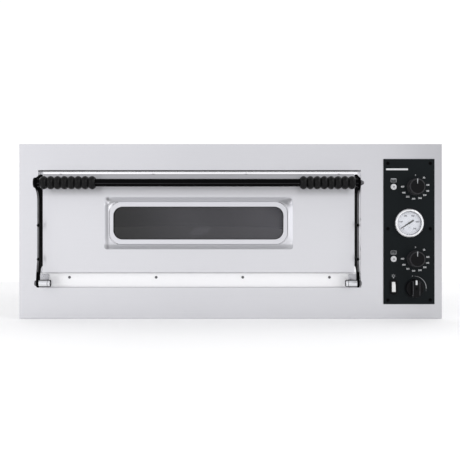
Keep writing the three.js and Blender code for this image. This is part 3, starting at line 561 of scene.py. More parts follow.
def cross_tool(arm, wide, floor, top):
    """A plus-shaped bit that narrows towards its tip, to cut a screw's recess."""
    bm = bmesh.new()
    levels = []
    for z, size in ((floor, 0.55), (top, 1.0)):
        quarter = [(arm * size, -wide), (arm * size, wide), (wide, wide)]
        levels.append([bm.verts.new((x * right - y * up, x * up + y * right, z))
                       for right, up in ((1, 0), (0, 1), (-1, 0), (0, -1)) for x, y in quarter])
    for level in levels:
        bm.faces.new(level)
    join_rings(bm, levels)
    return finish_mesh(bm, "bit")


def cut(mesh, bit):
    """A closed mesh with the bit's shape taken out of it."""
    base = add_to_scene(bpy.data.objects.new("base", mesh))
    tool = add_to_scene(bpy.data.objects.new("tool", bit))
    step = base.modifiers.new("cut", "BOOLEAN")
    step.operation, step.solver, step.object = "DIFFERENCE", "EXACT", tool
    graph = bpy.context.evaluated_depsgraph_get()
    result = bpy.data.meshes.new_from_object(base.evaluated_get(graph))
    bpy.data.objects.remove(base)
    bpy.data.objects.remove(tool)
    return result


def screw_mesh(radius, height):
    """A low pan head in millimetres, standing on z = 0, with a crossed recess."""
    head = turned("head", [
        (0, 0), (radius, 0), (radius, height * 0.45, radius * 0.1), (radius * 0.7, height, radius * 0.35),
        (0, height)], "up", (0, 0, 0), steps=24)
    head.transform(Matrix.Scale(1 / MM, 4))
    return cut(head, cross_tool(radius * 0.56, radius * 0.11, height * 0.35, height + 1))


TOWARDS = {
    "-y": AXES["ahead"],
    "+y": Matrix.Rotation(-pi / 2, 4, "X"),
    "+x": Matrix.Rotation(pi / 2, 4, "Y"),
    "-x": Matrix.Rotation(-pi / 2, 4, "Y"),
    "+z": Matrix.Identity(4),
    "-z": Matrix.Rotation(pi, 4, "X"),
}


def screws(name, finish, towards, places, radius=3.2, height=1.6, body="casing"):
    """Screw heads that stand on a surface at each place and face along an axis."""
    head = screw_mesh(radius, height)
    copies = [head.copy() for place in places]
    for copy, place in zip(copies, places):
        copy.transform(Matrix.Translation(place) @ TOWARDS[towards] @ Matrix.Scale(MM, 4))
    bpy.data.meshes.remove(head)
    show(gathered(name, copies), finish, body=body, sharp=40)


def evenly(start, end, count):
    return [start + (end - start) * index / (count - 1) for index in range(count)]


EDGE_INSET = 0.012  # from a sheet's edge to its screws


def fastener_pieces():
    low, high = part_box("sill_plate")
    screws("sill_screws", "dark_nut", "-y",
           [(x, low.y, high.z - 10.1 * MM) for x in evenly(-0.3825, 0.2348, 4)])
    low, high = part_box("door_outer_skin")
    edge = evenly(-0.4026, 0.2566, 4)
    y = (low.y + high.y) / 2 - 5 * MM
    screws("door_top_screws", "screw_steel", "+z", [(x, y, high.z) for x in edge], height=1.3, body="door")
    screws("door_bottom_screws", "screw_steel", "-z", [(x, y, low.z) for x in edge], height=0.8, body="door")
    low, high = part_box("control_panel")
    heights = (low.z + 9.8 * MM, (low.z + high.z) / 2 + 6.7 * MM, high.z - 10.4 * MM)
    places = [(x, low.y, z) for x in (low.x + 10 * MM, high.x - 10 * MM) for z in heights]
    screws("panel_screws", "black_parts_and_reflection", "-y", places, radius=4.0, height=1.5)
    low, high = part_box("top_cover")
    for side, x, towards in (("left", low.x + 1.2 * MM, "-x"), ("right", high.x - 1.2 * MM, "+x")):
        places = [(x, y, z) for y in evenly(low.y + 0.03, high.y - 0.03, 5)
                  for z in (EDGE_INSET, high.z - EDGE_INSET)]
        screws(f"{side}_side_screws", "screw_steel", towards, places, radius=3.4, height=1.2)
    low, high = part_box("rear_panel")
    places = [(x, high.y, z) for x in evenly(low.x + EDGE_INSET, high.x - EDGE_INSET, 6)
              for z in (low.z + EDGE_INSET, high.z - EDGE_INSET)]
    screws("rear_screws", "screw_steel", "+y", places, radius=3.4, height=1.4)


# ---------------- door, window and seal

PANE_RADIUS, RING_RADIUS, SLOPE_RADIUS, FOOT_RADIUS = 21.5 * MM, 28 * MM, 22 * MM, 6 * MM
GLASS_OVERLAP = 6 * MM  # of the glass behind its frame, on each side
RING_WIDER, RING_TALLER = 17.5 * MM, 22 * MM  # than the pane that shows
RING_SLOPE = (  # the pressed edge, as parts of the way in from the foot and up to the ring
    (0, 0), (0.04, 0.02), (0.12, 0.09), (0.3, 0.28), (0.5, 0.48), (0.7, 0.66), (0.82, 0.74), (0.87, 0.75),
    (0.9, 0.68), (0.92, 0.6), (0.94, 0.62), (0.955, 0.78), (0.97, 0.94), (0.985, 0.985), (1.0, 1.0))


def window_pieces():
    low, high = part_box("window_frame")
    centre = ((low.x + high.x) / 2, (low.z + high.z) / 2)
    wide, tall = high.x - low.x, high.z - low.z
    foot, top = high.y, low.y
    glass_low, glass_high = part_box("window_outer_glass")
    pane_wide = glass_high.x - glass_low.x - 2 * GLASS_OVERLAP
    pane_tall = glass_high.z - glass_low.z - 2 * GLASS_OVERLAP
    ring_wide, ring_tall = pane_wide + RING_WIDER, pane_tall + RING_TALLER
    flange = foot - 0.6 * MM
    lip = 0.6 * MM
    sheet = 1.5 * MM
    behind = glass_low.y - 0.3 * MM

    def loop(width, height, radius, y):
        return rounded_rectangle(width, height, radius, steps=12, centre=centre), y

    def pane(grow, rounder, y):
        """The pane's outline, made larger and its corners rounder, at a place in y."""
        return loop(pane_wide + 2 * grow, pane_tall + 2 * grow, PANE_RADIUS + rounder, y)

    def slope(part, rise):
        """A loop part of the way in from the foot and part of the way up to the ring."""
        across = wide - 2 * lip + (ring_wide - wide + 2 * lip) * part
        up = tall - 2 * lip + (ring_tall - tall + 2 * lip) * part
        radius = SLOPE_RADIUS + (RING_RADIUS - SLOPE_RADIUS) * part
        return loop(across, up, radius, flange + (top - flange) * rise)

    outside = [loop(wide, tall, FOOT_RADIUS, y) for y in (foot, flange)]
    outside += [slope(part, rise) for part, rise in RING_SLOPE]
    outside.append(loop(ring_wide - 2 * lip, ring_tall - 2 * lip, RING_RADIUS - lip, top))
    inside = [pane(2 * lip, 2 * lip, top), pane(lip, lip, top), pane(lip / 4, lip * 0.3, top + lip * 0.3),
              pane(0, 0, top + lip), pane(0, 0, behind), pane(sheet, sheet, behind),
              pane(sheet, sheet, top + sheet)]
    under = [loop(across - 2 * sheet, up - 2 * sheet, radius, y) for across, up, radius, y in (
        (ring_wide, ring_tall, RING_RADIUS, top + sheet), (wide, tall, FOOT_RADIUS, foot))]
    surround = frame_mesh("window_surround", outside + inside + under)
    # Steep walls at the ring's left and right ends, its groove among them, take near-black steel: painted shade in
    # the crease.
    show(surround, "pressed_frame_shaded", "window_frame", sharp=20, others=[
        ("painted_shade_steel", lambda face: abs(face.normal.y) < 0.62 and face.center.y < flange - 4 * MM
         and abs(face.center.x - centre[0]) > pane_wide / 2 - 10 * MM)])
    for level, inset in (("outer", GLASS_OVERLAP), ("inner", 5 * MM)):
        node = f"window_{level}_glass"
        low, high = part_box(node)
        outline = rounded_rectangle(high.x - low.x, high.z - low.z, PANE_RADIUS + inset, 12, centre)
        show(prism(f"window_{level}_pane", outline, high.y, low.y, bevel=0.5 * MM), SLOT_OF[node], node)
    front, back = glass_low.y - 0.05 * MM, glass_low.y - 0.25 * MM
    gasket = [pane(0.5 * MM, 0, back), pane(-0.8 * MM, -0.8 * MM, back),
              pane(-0.9 * MM, -0.9 * MM, front), pane(0.5 * MM, 0, front)]
    show(frame_mesh("window_gasket", gasket), "black_grip", body="door", slot="black_grip")


ROPE_WIDE = 7.4 * MM
ROPE_PITCH = 3.2 * MM


def seal_piece():
    """A braided rope laid round the mouth, pressed flat between the door and the frame."""
    low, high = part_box("door_seal")
    place = (low + high) / 2
    outline = rounded_rectangle(high.x - low.x - ROPE_WIDE, high.z - low.z - ROPE_WIDE, 12 * MM, 10,
                                (place.x, place.z))
    corners = [Vector((x, place.y, z)) for x, z in outline]
    path = []
    for here, nxt in zip(corners, corners[1:] + corners[:1]):
        pieces = max(1, round((nxt - here).length / ROPE_PITCH))
        path += [here.lerp(nxt, part / pieces) for part in range(pieces)]

    def braid(step, angle):
        return 0.94 + 0.06 * cos(2 * angle + step * pi / 2)

    mesh = swept("door_seal_rope", path, ROPE_WIDE / 2, sides=12, closed=True, swell=braid)
    for vertex in mesh.vertices:
        vertex.co.y = place.y + (vertex.co.y - place.y) * (high.y - low.y) / ROPE_WIDE
    show(mesh, "rope_seal", "door_seal", sharp=60)


# ---------------- arms, hinges and handle

ARM_FRONT = 30.0  # millimetres ahead of the front panel
LUG_RADIUS = 10.0
BOSS_RADIUS = 12.0
STUD_HEIGHTS = (0.2205, 0.1415)
BOLT_HEIGHTS = (0.305, 0.235, 0.165)


def curve(start, bend, end, steps=10):
    """The points of a quadratic curve, without its first."""
    parts = [step / steps for step in range(1, steps + 1)]
    return [start * (1 - t) ** 2 + Vector(bend) * 2 * t * (1 - t) + Vector(end) * t ** 2 for t in parts]


def arc(centre, radius, start, end, steps=20):
    return [centre + Vector((cos(a), sin(a))) * radius
            for a in (start + (end - start) * step / steps for step in range(steps + 1))]


def arm_outline():
    """Side view of an arm in millimetres, as distance ahead of the front face and height."""
    hinge = Vector(((FRONT - HINGE.y) / MM, HINGE.z / MM))
    bar = middle("handle_tube")
    boss = Vector(((FRONT - bar.y) / MM, bar.z / MM))
    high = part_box("door_outer_skin")[1]
    rear, top = (FRONT - high.y) / MM, high.z / MM - 1
    points = arc(hinge, LUG_RADIUS, pi, tau)
    points += curve(points[-1], (ARM_FRONT + 11, 112), (ARM_FRONT, 140))
    points.append(Vector((ARM_FRONT, 278)))
    points += curve(points[-1], (ARM_FRONT + 1, 297), (boss.x + BOSS_RADIUS - 4, 308))
    points += arc(boss, BOSS_RADIUS, -0.9, pi * 0.55)
    points += [Vector((8, top)), Vector((rear + 2.5, top)), Vector((rear, top - 2.5)), Vector((rear, 142))]
    points += curve(points[-1], (rear + 2, 126), (6, 123))
    points += curve(points[-1], (hinge.x - LUG_RADIUS, 118), (hinge.x - LUG_RADIUS, hinge.y))[:-1]
    return points


def arm_pieces():
    outline = [(FRONT - ahead * MM, z * MM) for ahead, z in arm_outline()]
    for side in ("left", "right"):
        low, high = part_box(f"{side}_arm")
        mesh = prism(f"{side}_arm_bar", outline, low.x, high.x, bevel=0.7 * MM, segments=3, along=0)
        # The arms' front edges between 0.11 and 0.3 m up take the lighter grey: a painted highlight.
        plate = show(mesh, "arm_steel", f"{side}_arm", sharp=30, others=[
            ("arm_front_highlight", lambda face: abs(face.normal.x) < 0.2 and face.normal.y < -0.5
             and 0.11 < face.center.z < 0.3)])
        plate.visible_glossy = False  # the door's satin face shows no mirror image of its arms
        profile = [(0, -3), (3.6, -3), (3.6, 0.6, 0.8), (2.2, 1.6, 0.6), (0, 1.6)]
        studs = [turned("stud", profile, "ahead", ((low.x + high.x) / 2, FRONT - ARM_FRONT * MM, z), steps=24)
                 for z in STUD_HEIGHTS]
        show(gathered(f"{side}_arm_studs", studs), "black_parts_and_reflection", body="door")
        outer, towards = (low.x, "-x") if side == "left" else (high.x, "+x")
        bolts = [(outer, FRONT + 10 * MM, z) for z in BOLT_HEIGHTS]
        screws(f"{side}_arm_bolts", "black_parts_and_reflection", towards, bolts, radius=4.5, height=2.4, body="door")


def hexagon(angle):
    """Radius of a hexagon's edge at an angle, for a corner radius of one."""
    sector = pi / 3
    return cos(sector / 2) / cos((angle + sector / 2) % sector - sector / 2)


def hinge_pieces():
    for side, way in (("left", 1), ("right", -1)):
        arm_low, arm_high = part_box(f"{side}_arm")
        inside = arm_high.x if side == "left" else arm_low.x
        low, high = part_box(f"{side}_hinge_bracket")
        front = high.y - 3 * MM

        def mirrored(mesh):
            """Turns a mesh to this side of the oven and moves it to the hinge."""
            if way < 0:
                mesh.transform(Matrix.Scale(-1, 4, Vector((1, 0, 0))))
                mesh.flip_normals()
            mesh.transform(Matrix.Translation((inside, HINGE.y, HINGE.z)))
            return mesh

        centre = (inside + way * 2.15 * MM, (high.z + low.z) / 2)
        outline = rounded_rectangle(23.7 * MM, high.z - low.z, 3 * MM, 4, centre)
        foot = prism("foot", outline, high.y, front, bevel=0.6 * MM)
        outline = rounded_rectangle(5 * MM, 12 * MM, 1 * MM, 3, (inside + way * 10.5 * MM, HINGE.z))
        web = prism("web", outline, front + 1 * MM, HINGE.y, bevel=0.3 * MM)
        barrel = turned("barrel", [
            (4.4, 0.4), (8.2, 0.4, 0.7), (8.2, 20), (7.7, 20.5), (8.2, 21), (8.2, 27, 1.6), (4.4, 27),
            (4.4, 0.4)], "across", (0, 0, 0), steps=56)
        bracket = gathered(f"{side}_hinge_barrel", [foot, web, mirrored(barrel)])
        # Faces ahead of the foot that look up, down or sideways take black: a painted dark reflection on the
        # chrome barrel. The foot takes a greyer steel.
        show(bracket, "chromed_steel", f"{side}_hinge_bracket", others=[
            ("black_parts_and_reflection", lambda face: face.center.y < front - 5 * MM and (
                abs(face.normal.z) > 0.78 or abs(face.normal.x) > 0.5)),
            ("screw_steel", lambda face: face.center.y > front - 5 * MM)])
        pin = assembled(f"{side}_hinge_bolt", "across", (0, 0, 0), (
            ([(0, -10.3), (5.2, -10.3, 0.6), (6.4, -9.4, 0.6), (6.4, -7.2), (0, -7.2)], 60, hexagon),
            ([(4.3, -7.2), (6.5, -7.2, 0.3), (6.5, -5.4, 0.3), (4.3, -5.4), (4.3, -7.2)], 40),
            ([(0, -6), (3.95, -6), (3.95, 26), (0, 26)], 32)))
        show(mirrored(pin), "dark_nut", f"{side}_hinge_pin")


GRIP_BEADS = 8
GRIP_BORE = 9.3
GRIP_VALLEY = 4.6  # millimetres deep between two beads


def grip_profile(length, radius):
    """Half circles side by side, joined by narrow valleys, over a straight bore."""
    pitch = length / GRIP_BEADS
    waist = radius - GRIP_VALLEY
    profile = [(GRIP_BORE, 0), (waist, 0)]
    for bead in range(GRIP_BEADS):
        for step in range(1, 12):
            height = sin(pi * step / 12) ** 0.75
            profile.append((waist + (radius - waist) * height, (bead + step / 12) * pitch))
        profile.append((waist, (bead + 1) * pitch))
    profile.append((GRIP_BORE, length))
    return profile


def handle_pieces():
    bar = middle("handle_tube")
    place = (0, bar.y, bar.z)
    low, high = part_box("handle_tube")
    left, right = low.x / MM, high.x / MM
    # A thin band just below the bar's middle, on its front only, takes a lighter black: a painted highlight line.
    spun("handle_bar", [(5, left), (9, left), (9, right), (5, right), (5, left)], "across", place,
         "black_steel", "handle_tube", others=[
             ("bar_highlight_line", lambda face: face.normal.y < -0.9 and -3 * MM < face.center.z - bar.z < -1.4 * MM)])
    for side in ("left", "right"):
        low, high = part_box(f"{side}_grip")
        profile = grip_profile((high.x - low.x) / MM, (high.y - low.y) / 2 / MM)
        spun(f"{side}_hand_grip", profile, "across", (low.x, bar.y, bar.z), "black_grip", f"{side}_grip",
             steps=56, sharp=70)
    low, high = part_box("handle_end_cap")
    outer, inner, radius = low.x / MM, high.x / MM, (high.z - low.z) / 2 / MM
    spun("bar_end_cap", [
        (0, outer), (radius, outer, 1.2), (radius, inner, 0.4), (4.3, inner), (4.3, outer + 1),
        (0, outer + 1)], "across", place, "black_plastic", "handle_end_cap")
    low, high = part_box("handle_rod")
    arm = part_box("right_arm")[1].x / MM + 0.3
    tip = high.x / MM
    rod = assembled("tie_rod", "across", place, (
        ([(0, low.x / MM), (4, low.x / MM), (4, arm + 0.2), (0, arm + 0.2)], 64),
        ([(0, arm), (6.9, arm, 0.3), (6.9, arm + 1.3, 0.3), (0, arm + 1.3)], 64),
        ([(0, arm + 1.2), (5.9, arm + 1.2), (5.9, arm + 4.2, 0.4), (4.4, arm + 4.6)], 60, hexagon),
        ([(4.6, arm + 4), (4.6, arm + 5), (4.3, arm + 6.4), (3.3, arm + 7.6), (1.8, tip - 0.3),
          (0, tip)], 40)))
    show(rod, "dark_nut", "handle_rod")


# ---------------- control panel

INK = 0.12 * MM
FIGURE_SIZE, SMALL_FIGURE = 5.4 * MM, 4.5 * MM
ICON_LINE = 0.9 * MM
MARK_REACH = 28.5 * MM  # from the main switch's centre to its marks
THERMOSTAT_MARKS = (  # degrees and millimetres from the knob's centre
    (2, 27.5), (44.4, 30.2), (81.6, 30.1), (108.3, 30.8), (131, 30), (156.7, 29), (187.5, 28.4),
    (216.5, 29), (242.5, 30), (270.6, 29.7))


def printed(name, meshes, y, finish):
    """Thin ink on the casing that looks towards -Y: flat meshes drawn at y = 0 and moved to y."""
    mesh = gathered(name, meshes)
    mesh.transform(Matrix.Translation((0, y, 0)))
    show(mesh, finish)


def words(text, place, size, bold=0.0):
    """Generic figures, centred on an (x, z) point, facing -Y."""
    data = bpy.data.curves.new("figures", "FONT")
    data.body = text
    data.size = size
    data.align_x, data.align_y = "CENTER", "CENTER"
    data.extrude = INK / 2
    data.offset = size * bold
    data.resolution_u = 3
    holder = add_to_scene(bpy.data.objects.new("figures", data))
    graph = bpy.context.evaluated_depsgraph_get()
    mesh = bpy.data.meshes.new_from_object(holder.evaluated_get(graph))
    bpy.data.objects.remove(holder)
    bpy.data.curves.remove(data)
    mesh.transform(Matrix.Translation((place[0], -INK / 2, place[1])) @ Matrix.Rotation(pi / 2, 4, "X"))
    return mesh


def patch(outline):
    return prism("patch", outline, 0, -INK)


def bar(start, end, thick):
    """A straight printed line between two points."""
    start, end = Vector(start), Vector(end)
    along = (end - start).normalized() * thick / 2
    side = Vector((-along.y, along.x))
    return patch([start - side, end - side, end + side, start + side])


def clock(centre, radius, degrees):
    """A point at an angle clockwise from the top, as seen from the front."""
    angle = radians(degrees)
    return centre[0] + radius * sin(angle), centre[1] + radius * cos(angle)


def swoosh(centre, radius, start, end, thin, thick, steps=28):
    """A printed arc that grows from thin to thick."""
    edges = [[clock(centre, radius + side * (thin + (thick - thin) * step / steps) / 2,
                    start + (end - start) * step / steps) for step in range(steps + 1)] for side in (1, -1)]
    return patch(edges[0] + edges[1][::-1])


def ring(centre, radius, thick, steps=40):
    edges = {side: [clock(centre, radius + side * thick / 2, 360 * step / steps) for step in range(steps)]
             for side in (1, -1)}
    return frame_mesh("ring", [(edges[1], 0), (edges[1], -INK), (edges[-1], -INK), (edges[-1], 0)])


def heater_icon(x, z, heat_above):
    """A chamber outline with heat marks hanging from its roof or rising from its floor."""
    left, right, low, high = x - 6.25 * MM, x + 6.25 * MM, z - 3.75 * MM, z + 3.75 * MM
    edges = [bar((left, low), (right, low), ICON_LINE),
             bar((left, high), (right, high), ICON_LINE * (2.2 if heat_above else 1)),
             bar((left, low), (left, high), ICON_LINE), bar((right, low), (right, high), ICON_LINE)]
    root, tip = (high - 1 * MM, high - 4.2 * MM) if heat_above else (low + 1 * MM, low + 4.2 * MM)
    return edges + [bar((place, root), (place, tip), ICON_LINE) for place in (x - 3.3 * MM, x, x + 3.3 * MM)]


def lamp_icon(x, z):
    """A round bulb with rays and a cap."""
    cap = patch(rounded_rectangle(2.2 * MM, 2.4 * MM, 0.4 * MM, 2, (x, z - 4.2 * MM)))
    rays = [bar(clock((x, z), 3.7 * MM, angle), clock((x, z), 5.3 * MM, angle), 0.6 * MM)
            for angle in (-90, -45, 0, 45, 90)]
    return [ring((x, z), 2.4 * MM, 0.8 * MM), cap, *rays]


def panel_prints():
    marks, figures = [], []
    for level in ("upper", "lower"):
        knob = middle(f"{level}_thermostat_knob")
        for index, (angle, reach) in enumerate(THERMOSTAT_MARKS):
            size, bold = (FIGURE_SIZE, 0.022) if index else (4.4 * MM, 0.0)
            figures.append(words(str(50 * index), clock((knob.x, knob.z), reach * MM, angle), size, bold))
    knob = middle("main_switch_knob")
    marks.append(swoosh((knob.x, knob.z), MARK_REACH, 2, 92, 0.4 * MM, 1.6 * MM))
    for text, angle in (("0", -8), ("I", 100)):
        marks.append(words(text, clock((knob.x, knob.z), MARK_REACH, angle), SMALL_FIGURE))
    low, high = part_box("control_panel")
    plain_bar = rounded_rectangle(52 * MM, 4.2 * MM, 1.4 * MM, 3, (low.x + 31.5 * MM, high.z - 24.5 * MM))
    figures.append(patch(plain_bar))
    for level in ("upper", "lower"):
        lamp = middle(f"{level}_indicator")
        marks += heater_icon(lamp.x, lamp.z + 15.2 * MM, level == "upper")
    rocker = middle("rocker_housing")
    marks += lamp_icon(rocker.x, rocker.z + 26.2 * MM)
    printed("panel_print", marks, PANEL_FRONT, "grey_print")
    printed("panel_figures", figures, PANEL_FRONT, "white_print")


def fluted(angle):
    """Shallow finger flutes round a knob."""
    return 1 - 0.006 * (0.5 + 0.5 * cos(24 * angle))


def off_axis(face, centre):
    """Distance of a face from the line along Y through a centre."""
    return hypot(face.center.x - centre.x, face.center.z - centre.z)


def knob_pieces():
    for level in ("upper", "lower"):
        node = f"{level}_thermostat_knob"
        low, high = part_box(node)
        centre = (low + high) / 2
        tall = (high.y - low.y) / MM
        # The knob's outer rim takes a lighter black: a painted highlight.
        spun(f"{level}_thermostat_grip", [
            (3.3, 9), (3.3, 0), (19.95, 0, 0.4), (19.95, 2.6, 0.8), (19.0, 3.6, 0.5), (18.3, tall, 1.6),
            (16.2, tall, 0.5), (15.8, tall - 0.7, 0.5), (0, tall - 0.7)], "ahead",
            (centre.x, high.y, centre.z), "black_plastic", node, steps=96, sides=fluted, sharp=40,
            others=[("knob_rim_highlight", lambda face: off_axis(face, centre) > 15.9 * MM)])
        marks = [prism("mark", [(centre.x + x * MM, centre.z + z * MM) for x, z in outline],
                       low.y + 0.8 * MM, low.y + rise * MM, bevel=0.12 * MM) for rise, outline in (
            (0.3, ((-0.7, 6.5), (0.7, 6.5), (1.25, 15.4), (-1.25, 15.4))),
            (-0.25, ((-1.2, 15), (1.2, 15), (1.3, 18.1), (-1.3, 18.1))))]
        show(gathered(f"{level}_thermostat_pointer", marks), "grey_print", body=f"{level}_knob")


def main_knob_piece():
    low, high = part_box("main_switch_knob")
    centre = (low + high) / 2
    skirt = turned("skirt", [
        (3.3, 8), (3.3, 0), (21.4, 0, 0.5), (21.4, 4, 0.8), (19.6, 8.6, 1.2), (0, 9.4)], "ahead",
        (centre.x, high.y, centre.z), steps=96)
    wing = prism("wing", rounded_rectangle(16.6 * MM, 40.4 * MM, 5 * MM, 8, (centre.x, centre.z)),
                 high.y - 5 * MM, low.y, bevel=1.2 * MM, segments=4)
    knob = gathered("main_switch_grip", [skirt, wing])
    # The grip's slanted sides near its front take a lighter black: painted highlights along its edges.
    show(knob, "black_plastic", "main_switch_knob", sharp=35, others=[
        ("grip_edge_highlight", lambda face: face.center.y < high.y - 12 * MM and 0.25 < abs(face.normal.x) < 0.97
         and abs(face.center.z - centre.z) < 17 * MM)])
    outline = rounded_rectangle(4.2 * MM, 10.6 * MM, 0.8 * MM, 3, (centre.x, centre.z + 14.4 * MM))
    index = prism("main_switch_index", outline, low.y + 0.3 * MM, low.y - 0.15 * MM, bevel=0.1 * MM)
    show(index, "white_print", body="switch_knob")
    spun("main_switch_hub", [(0, -0.05), (2.4, -0.05), (2.4, 0.12), (0, 0.12)], "ahead",
         (centre.x, low.y, centre.z), "black_parts_and_reflection", body="switch_knob", steps=32)


def indicator_pieces():
    for level in ("upper", "lower"):
        centre = middle(f"{level}_indicator")
        spun(f"{level}_indicator_lens", [
            (0, -15), (4.9, -15), (4.9, 0.3), (6.95, 0.3), (6.95, 1.6, 0.5), (5.6, 2.2, 0.3), (5.2, 2.2, 0.2),
            (4.6, 3.6, 0.8), (2.6, 4.0), (0, 4.4)], "ahead", (centre.x, PANEL_FRONT, centre.z),
            "clear_white", f"{level}_indicator", steps=48,
            others=[("lamp_core", lambda face: off_axis(face, centre) < 2.6 * MM)])


SCALE_START, SCALE_SPAN = -135, 270  # degrees clockwise from the top
ROOM_READING = -JOINTS["gauge_needle_sweep"]["range_deg"][0]
SCALE_STEPS, SCALE_FIGURES = 50, 5
LONG_MARK, HALF_MARK, SHORT_MARK = (3.2 * MM, 0.6 * MM), (2.2 * MM, 0.4 * MM), (1.4 * MM, 0.25 * MM)
SCALE_RADIUS, FIGURE_RADIUS = 26.2 * MM, 18.8 * MM


def gauge_pieces():
    low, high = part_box("gauge_case")
    centre = (low + high) / 2
    rim, back = (PANEL_FRONT - low.y) / MM, (PANEL_FRONT - high.y) / MM
    spun("thermometer_case", [
        (0, back), (29.9, back, 1), (29.9, 0.35), (33.5, 0.35, 0.5), (33.5, 6.6, 1.6), (31.3, rim, 2.0),
        (28.6, rim - 0.3, 0.5), (28.3, rim - 1.5), (30.9, rim - 1.6), (30.9, rim - 4.2), (28.3, rim - 4.4),
        (28.3, back + 1.5), (0, back + 1.5)], "ahead", (centre.x, PANEL_FRONT, centre.z),
        "polished_rim", "gauge_case", steps=96, sharp=35)
    for part, profile, finish in (
            ("lens", [(0, 0), (30.6, 0, 0.3), (30.6, 1.7, 0.3), (0, 1.9)], "clear_glass"),
            ("dial", [(1.5, 0), (27.9, 0), (27.9, 0.9, 0.3), (1.5, 0.9), (1.5, 0)], "dial_white")):
        low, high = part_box(f"gauge_{part}")
        spun(f"thermometer_{part}", profile, "ahead", (centre.x, high.y, centre.z), finish,
             f"gauge_{part}", steps=96)
    hub = (centre.x, centre.z)
    marks = []
    for index in range(SCALE_STEPS + 1):
        angle = SCALE_START + SCALE_SPAN * index / SCALE_STEPS
        length, thick = LONG_MARK if index % 10 == 0 else HALF_MARK if index % 5 == 0 else SHORT_MARK
        marks.append(bar(clock(hub, SCALE_RADIUS, angle), clock(hub, SCALE_RADIUS - length, angle), thick))
    for index in range(SCALE_FIGURES + 1):
        place = clock(hub, FIGURE_RADIUS, SCALE_START + SCALE_SPAN / SCALE_FIGURES * index)
        marks.append(words(str(100 * index), place, 5 * MM, bold=0.02))
    marks.append(words("°C", (centre.x, centre.z - 10.5 * MM), SMALL_FIGURE))
    marks.append(ring(hub, SCALE_RADIUS + 1 * MM, 0.5 * MM, steps=90))
    printed("dial_print", marks, low.y, "dark_print")


def needle_piece():
    """The needle at a cool room's reading. Its outline points along its own +x."""
    low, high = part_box("gauge_needle")
    centre = middle("gauge_case")
    outline = [(-12.5, -2), (-12.5, 2), (-4, 1.8), (24.2, 0.8), (24.2, -0.8), (-4, -1.8)]
    turn = Matrix.Rotation(radians(SCALE_START - 90 + ROOM_READING), 4, "Y")
    blade = prism("blade", [(x * MM, z * MM) for x, z in outline], low.y + 1.6 * MM, low.y + 1.1 * MM,
                  matrix=Matrix.Translation((centre.x, 0, centre.z)) @ turn)
    profile = [(0, 0), (1.0, 0), (1.0, 10.4), (2.55, 10.4, 0.2), (2.55, 12.5, 0.5), (0, 12.6)]
    hub = turned("hub", profile, "ahead", (centre.x, high.y, centre.z), steps=32)
    show(gathered("thermometer_needle", [blade, hub]), "black_parts_and_reflection", "gauge_needle")


ROCKER_HALF_WIDE = 4.3 * MM
ROCKER_TILT = -10  # degrees, with its lower end pressed


def rocker_pieces():
    low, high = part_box("rocker_housing")
    centre = ((low.x + high.x) / 2, (low.z + high.z) / 2)
    wide, tall = (high.x - low.x) / MM, (high.z - low.z) / MM
    back, floor = PANEL_FRONT - 0.3 * MM, high.y - 3 * MM
    loops = [(rounded_rectangle(width * MM, height * MM, radius * MM, 5, centre), y)
             for width, height, radius, y in (
        (wide, tall, 1.6, back), (wide, tall, 1.6, low.y + 1.4 * MM),
        (wide - 0.8, tall - 0.8, 1.4, low.y + 0.5 * MM), (wide - 2.4, tall - 2.4, 1.0, low.y),
        (10.6, 28.8, 0.8, low.y + 0.15 * MM), (9.6, 27.8, 0.5, low.y + 0.8 * MM), (9.6, 27.8, 0.5, floor),
        (12.8, 29.8, 0.5, floor), (12.8, 29.8, 0.5, back))]
    tray = prism("tray", loops[-1][0], high.y - 3.2 * MM, high.y)
    bezel = gathered("light_switch_bezel", [frame_mesh("bezel", loops), tray])
    show(bezel, "black_plastic", "rocker_housing")
    outline = soften([(-2, -9, 0.4), (4.2, -12.7, 1.0), (5.0, -6), (5.5, 0, 2.5), (5.0, 6), (4.2, 12.7, 1.0),
                      (-2, 9, 0.4)], steps=4)
    tilt = Matrix.Rotation(radians(ROCKER_TILT), 4, "X")
    rocker = prism("light_switch_rocker", [(-ahead * MM, z * MM) for ahead, z in outline],
                   -ROCKER_HALF_WIDE, ROCKER_HALF_WIDE, bevel=0.35 * MM, along=0,
                   matrix=Matrix.Translation(JOINTS["light_rocker_tilt"]["pos_m"]) @ tilt)
    show(rocker, "white_plastic", "light_rocker")


# ---------------- chamber and rear fittings

ELEMENT_BENDS = 3
BEND_STEPS = 16
REAR_BEND_INSET = 0.078


def element_pieces():
    for node in [f"{level}_element_{side}" for level in ("upper", "lower") for side in ("left", "right")]:
        low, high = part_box(node)
        radius = (high.z - low.z) / 2
        z = (low.z + high.z) / 2
        first, last = low.x + radius, high.x - radius
        pitch = (last - first) / ELEMENT_BENDS
        path = [Vector((first, high.y, z))]
        for bend in range(ELEMENT_BENDS):
            x = first + (bend + 0.5) * pitch
            way, y = (1, high.y - REAR_BEND_INSET) if bend % 2 else (-1, low.y + radius + pitch / 2)
            for step in range(BEND_STEPS + 1):
                angle = pi * (1 - step / BEND_STEPS)
                path.append(Vector((x + pitch / 2 * cos(angle),
                                    y + way * pitch / 2 * sin(angle), z)))
        path.append(Vector((last, high.y, z)))
        mesh = swept(node.replace("element", "heater"), path, radius * 0.98, sides=16)
        show(mesh, "element_steel", node, sharp=50)


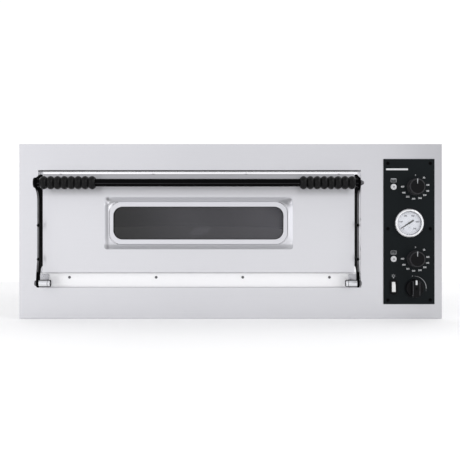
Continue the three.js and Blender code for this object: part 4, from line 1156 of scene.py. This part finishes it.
def lamp_pieces():
    glass = middle("lamp_glass")
    place = (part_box("chamber_shell")[1].x - 1.5 * MM, glass.y, glass.z)
    for name, node, finish, steps, profile in (
            ("lamp_socket", "lamp_housing", "galvanised_steel", 56, [
                (0, 58), (0, 56.5), (25.2, 56.5), (25.2, -2.3), (33.8, -2.3, 0.8), (33.8, -0.3), (26.9, -0.3),
                (26.9, 58, 1.5), (0, 58)]),
            ("lamp_cover", "lamp_glass", "clear_glass", 56, [
                (22, 8), (24, 8), (24, -4, 1.5), (21, -8, 3), (8, -10, 6), (0, -10), (0, -8), (8, -8, 6),
                (19.5, -6, 2), (22, -3, 1), (22, 8)]),
            ("oven_bulb", "lamp_bulb", "frosted_glass", 40, [
                (0, 0.2), (6, 1.6), (9.5, 5), (10.9, 10), (10.9, 15), (9, 22, 3), (6.9, 28, 2), (6.9, 34),
                (8.8, 36, 0.5), (8.8, 55.5), (0, 55.5)])):
        spun(name, profile, "across", place, finish, node, steps)


def ribbed(angle):
    """Shallow ribs round the gland's collar."""
    return 1 - 0.02 * (0.5 + 0.5 * cos(18 * angle))


def rear_pieces():
    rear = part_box("rear_panel")[1].y
    low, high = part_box("flue_pipe")
    centre = (low + high) / 2
    end = (low.y - high.y) / MM
    panel = (low.y - rear) / MM - 0.3
    spun("flue_spigot", [
        (18.5, end), (20, end, 0.4), (20, panel - 1.5), (31.9, panel - 1.5, 0.4), (31.9, panel, 0.4),
        (20, panel), (20, 0), (18.5, 0), (18.5, end)], "ahead", (centre.x, low.y, centre.z),
        "galvanised_steel", "flue_pipe")
    corners = arc(Vector((centre.x, centre.z)), 26 * MM, pi / 4, pi * 7 / 4, steps=3)
    screws("flue_screws", "screw_steel", "+y", [(x, low.y + (1.5 - panel) * MM, z) for x, z in corners],
           radius=2.6, height=1.3)
    centre = middle("cable_gland")
    end = (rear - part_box("cable_gland")[1].y) / MM
    gland = assembled("cable_entry_gland", "ahead", (centre.x, rear, centre.z), (
        ([(9, -8), (13.9, -8, 0.8), (13.9, -0.4, 0.8), (9, -0.4)], 72, hexagon),
        ([(7, end), (9, end, 0.6), (12.3, end + 5, 1.0), (12.3, -7.8), (7, -7.8), (7, end)], 72, ribbed),
        ([(7, -8), (10, -8), (10, 12), (7, 12), (7, -8)], 48)))
    show(gland, "black_plastic", "cable_gland")
    outline = rounded_rectangle(90 * MM, 50 * MM, 3 * MM, 4, (0.25, 0.08))
    show(prism("rating_plate", outline, rear, rear + 0.6 * MM, bevel=0.15 * MM), "dull_stainless")


# ---------------- everything together

for node, cad in NODES.items():
    cad.data.materials.clear()
    cad.data.materials.append(MATERIALS[SLOT_OF[node]])

bpy.context.scene.view_settings.view_transform = "Standard"
add_camera()
add_world()
add_softbox("key_right", (1.8, FRONT - 1.5, 1.9), 0.7, 12)
add_softbox("key_left", (-1.9, FRONT - 1.6, 0.9), 0.7, 6)
add_floor()

casing_pieces()
fastener_pieces()
window_pieces()
seal_piece()
arm_pieces()
hinge_pieces()
handle_pieces()
panel_prints()
knob_pieces()
main_knob_piece()
indicator_pieces()
gauge_pieces()
needle_piece()
rocker_pieces()
element_pieces()
lamp_pieces()
rear_pieces()
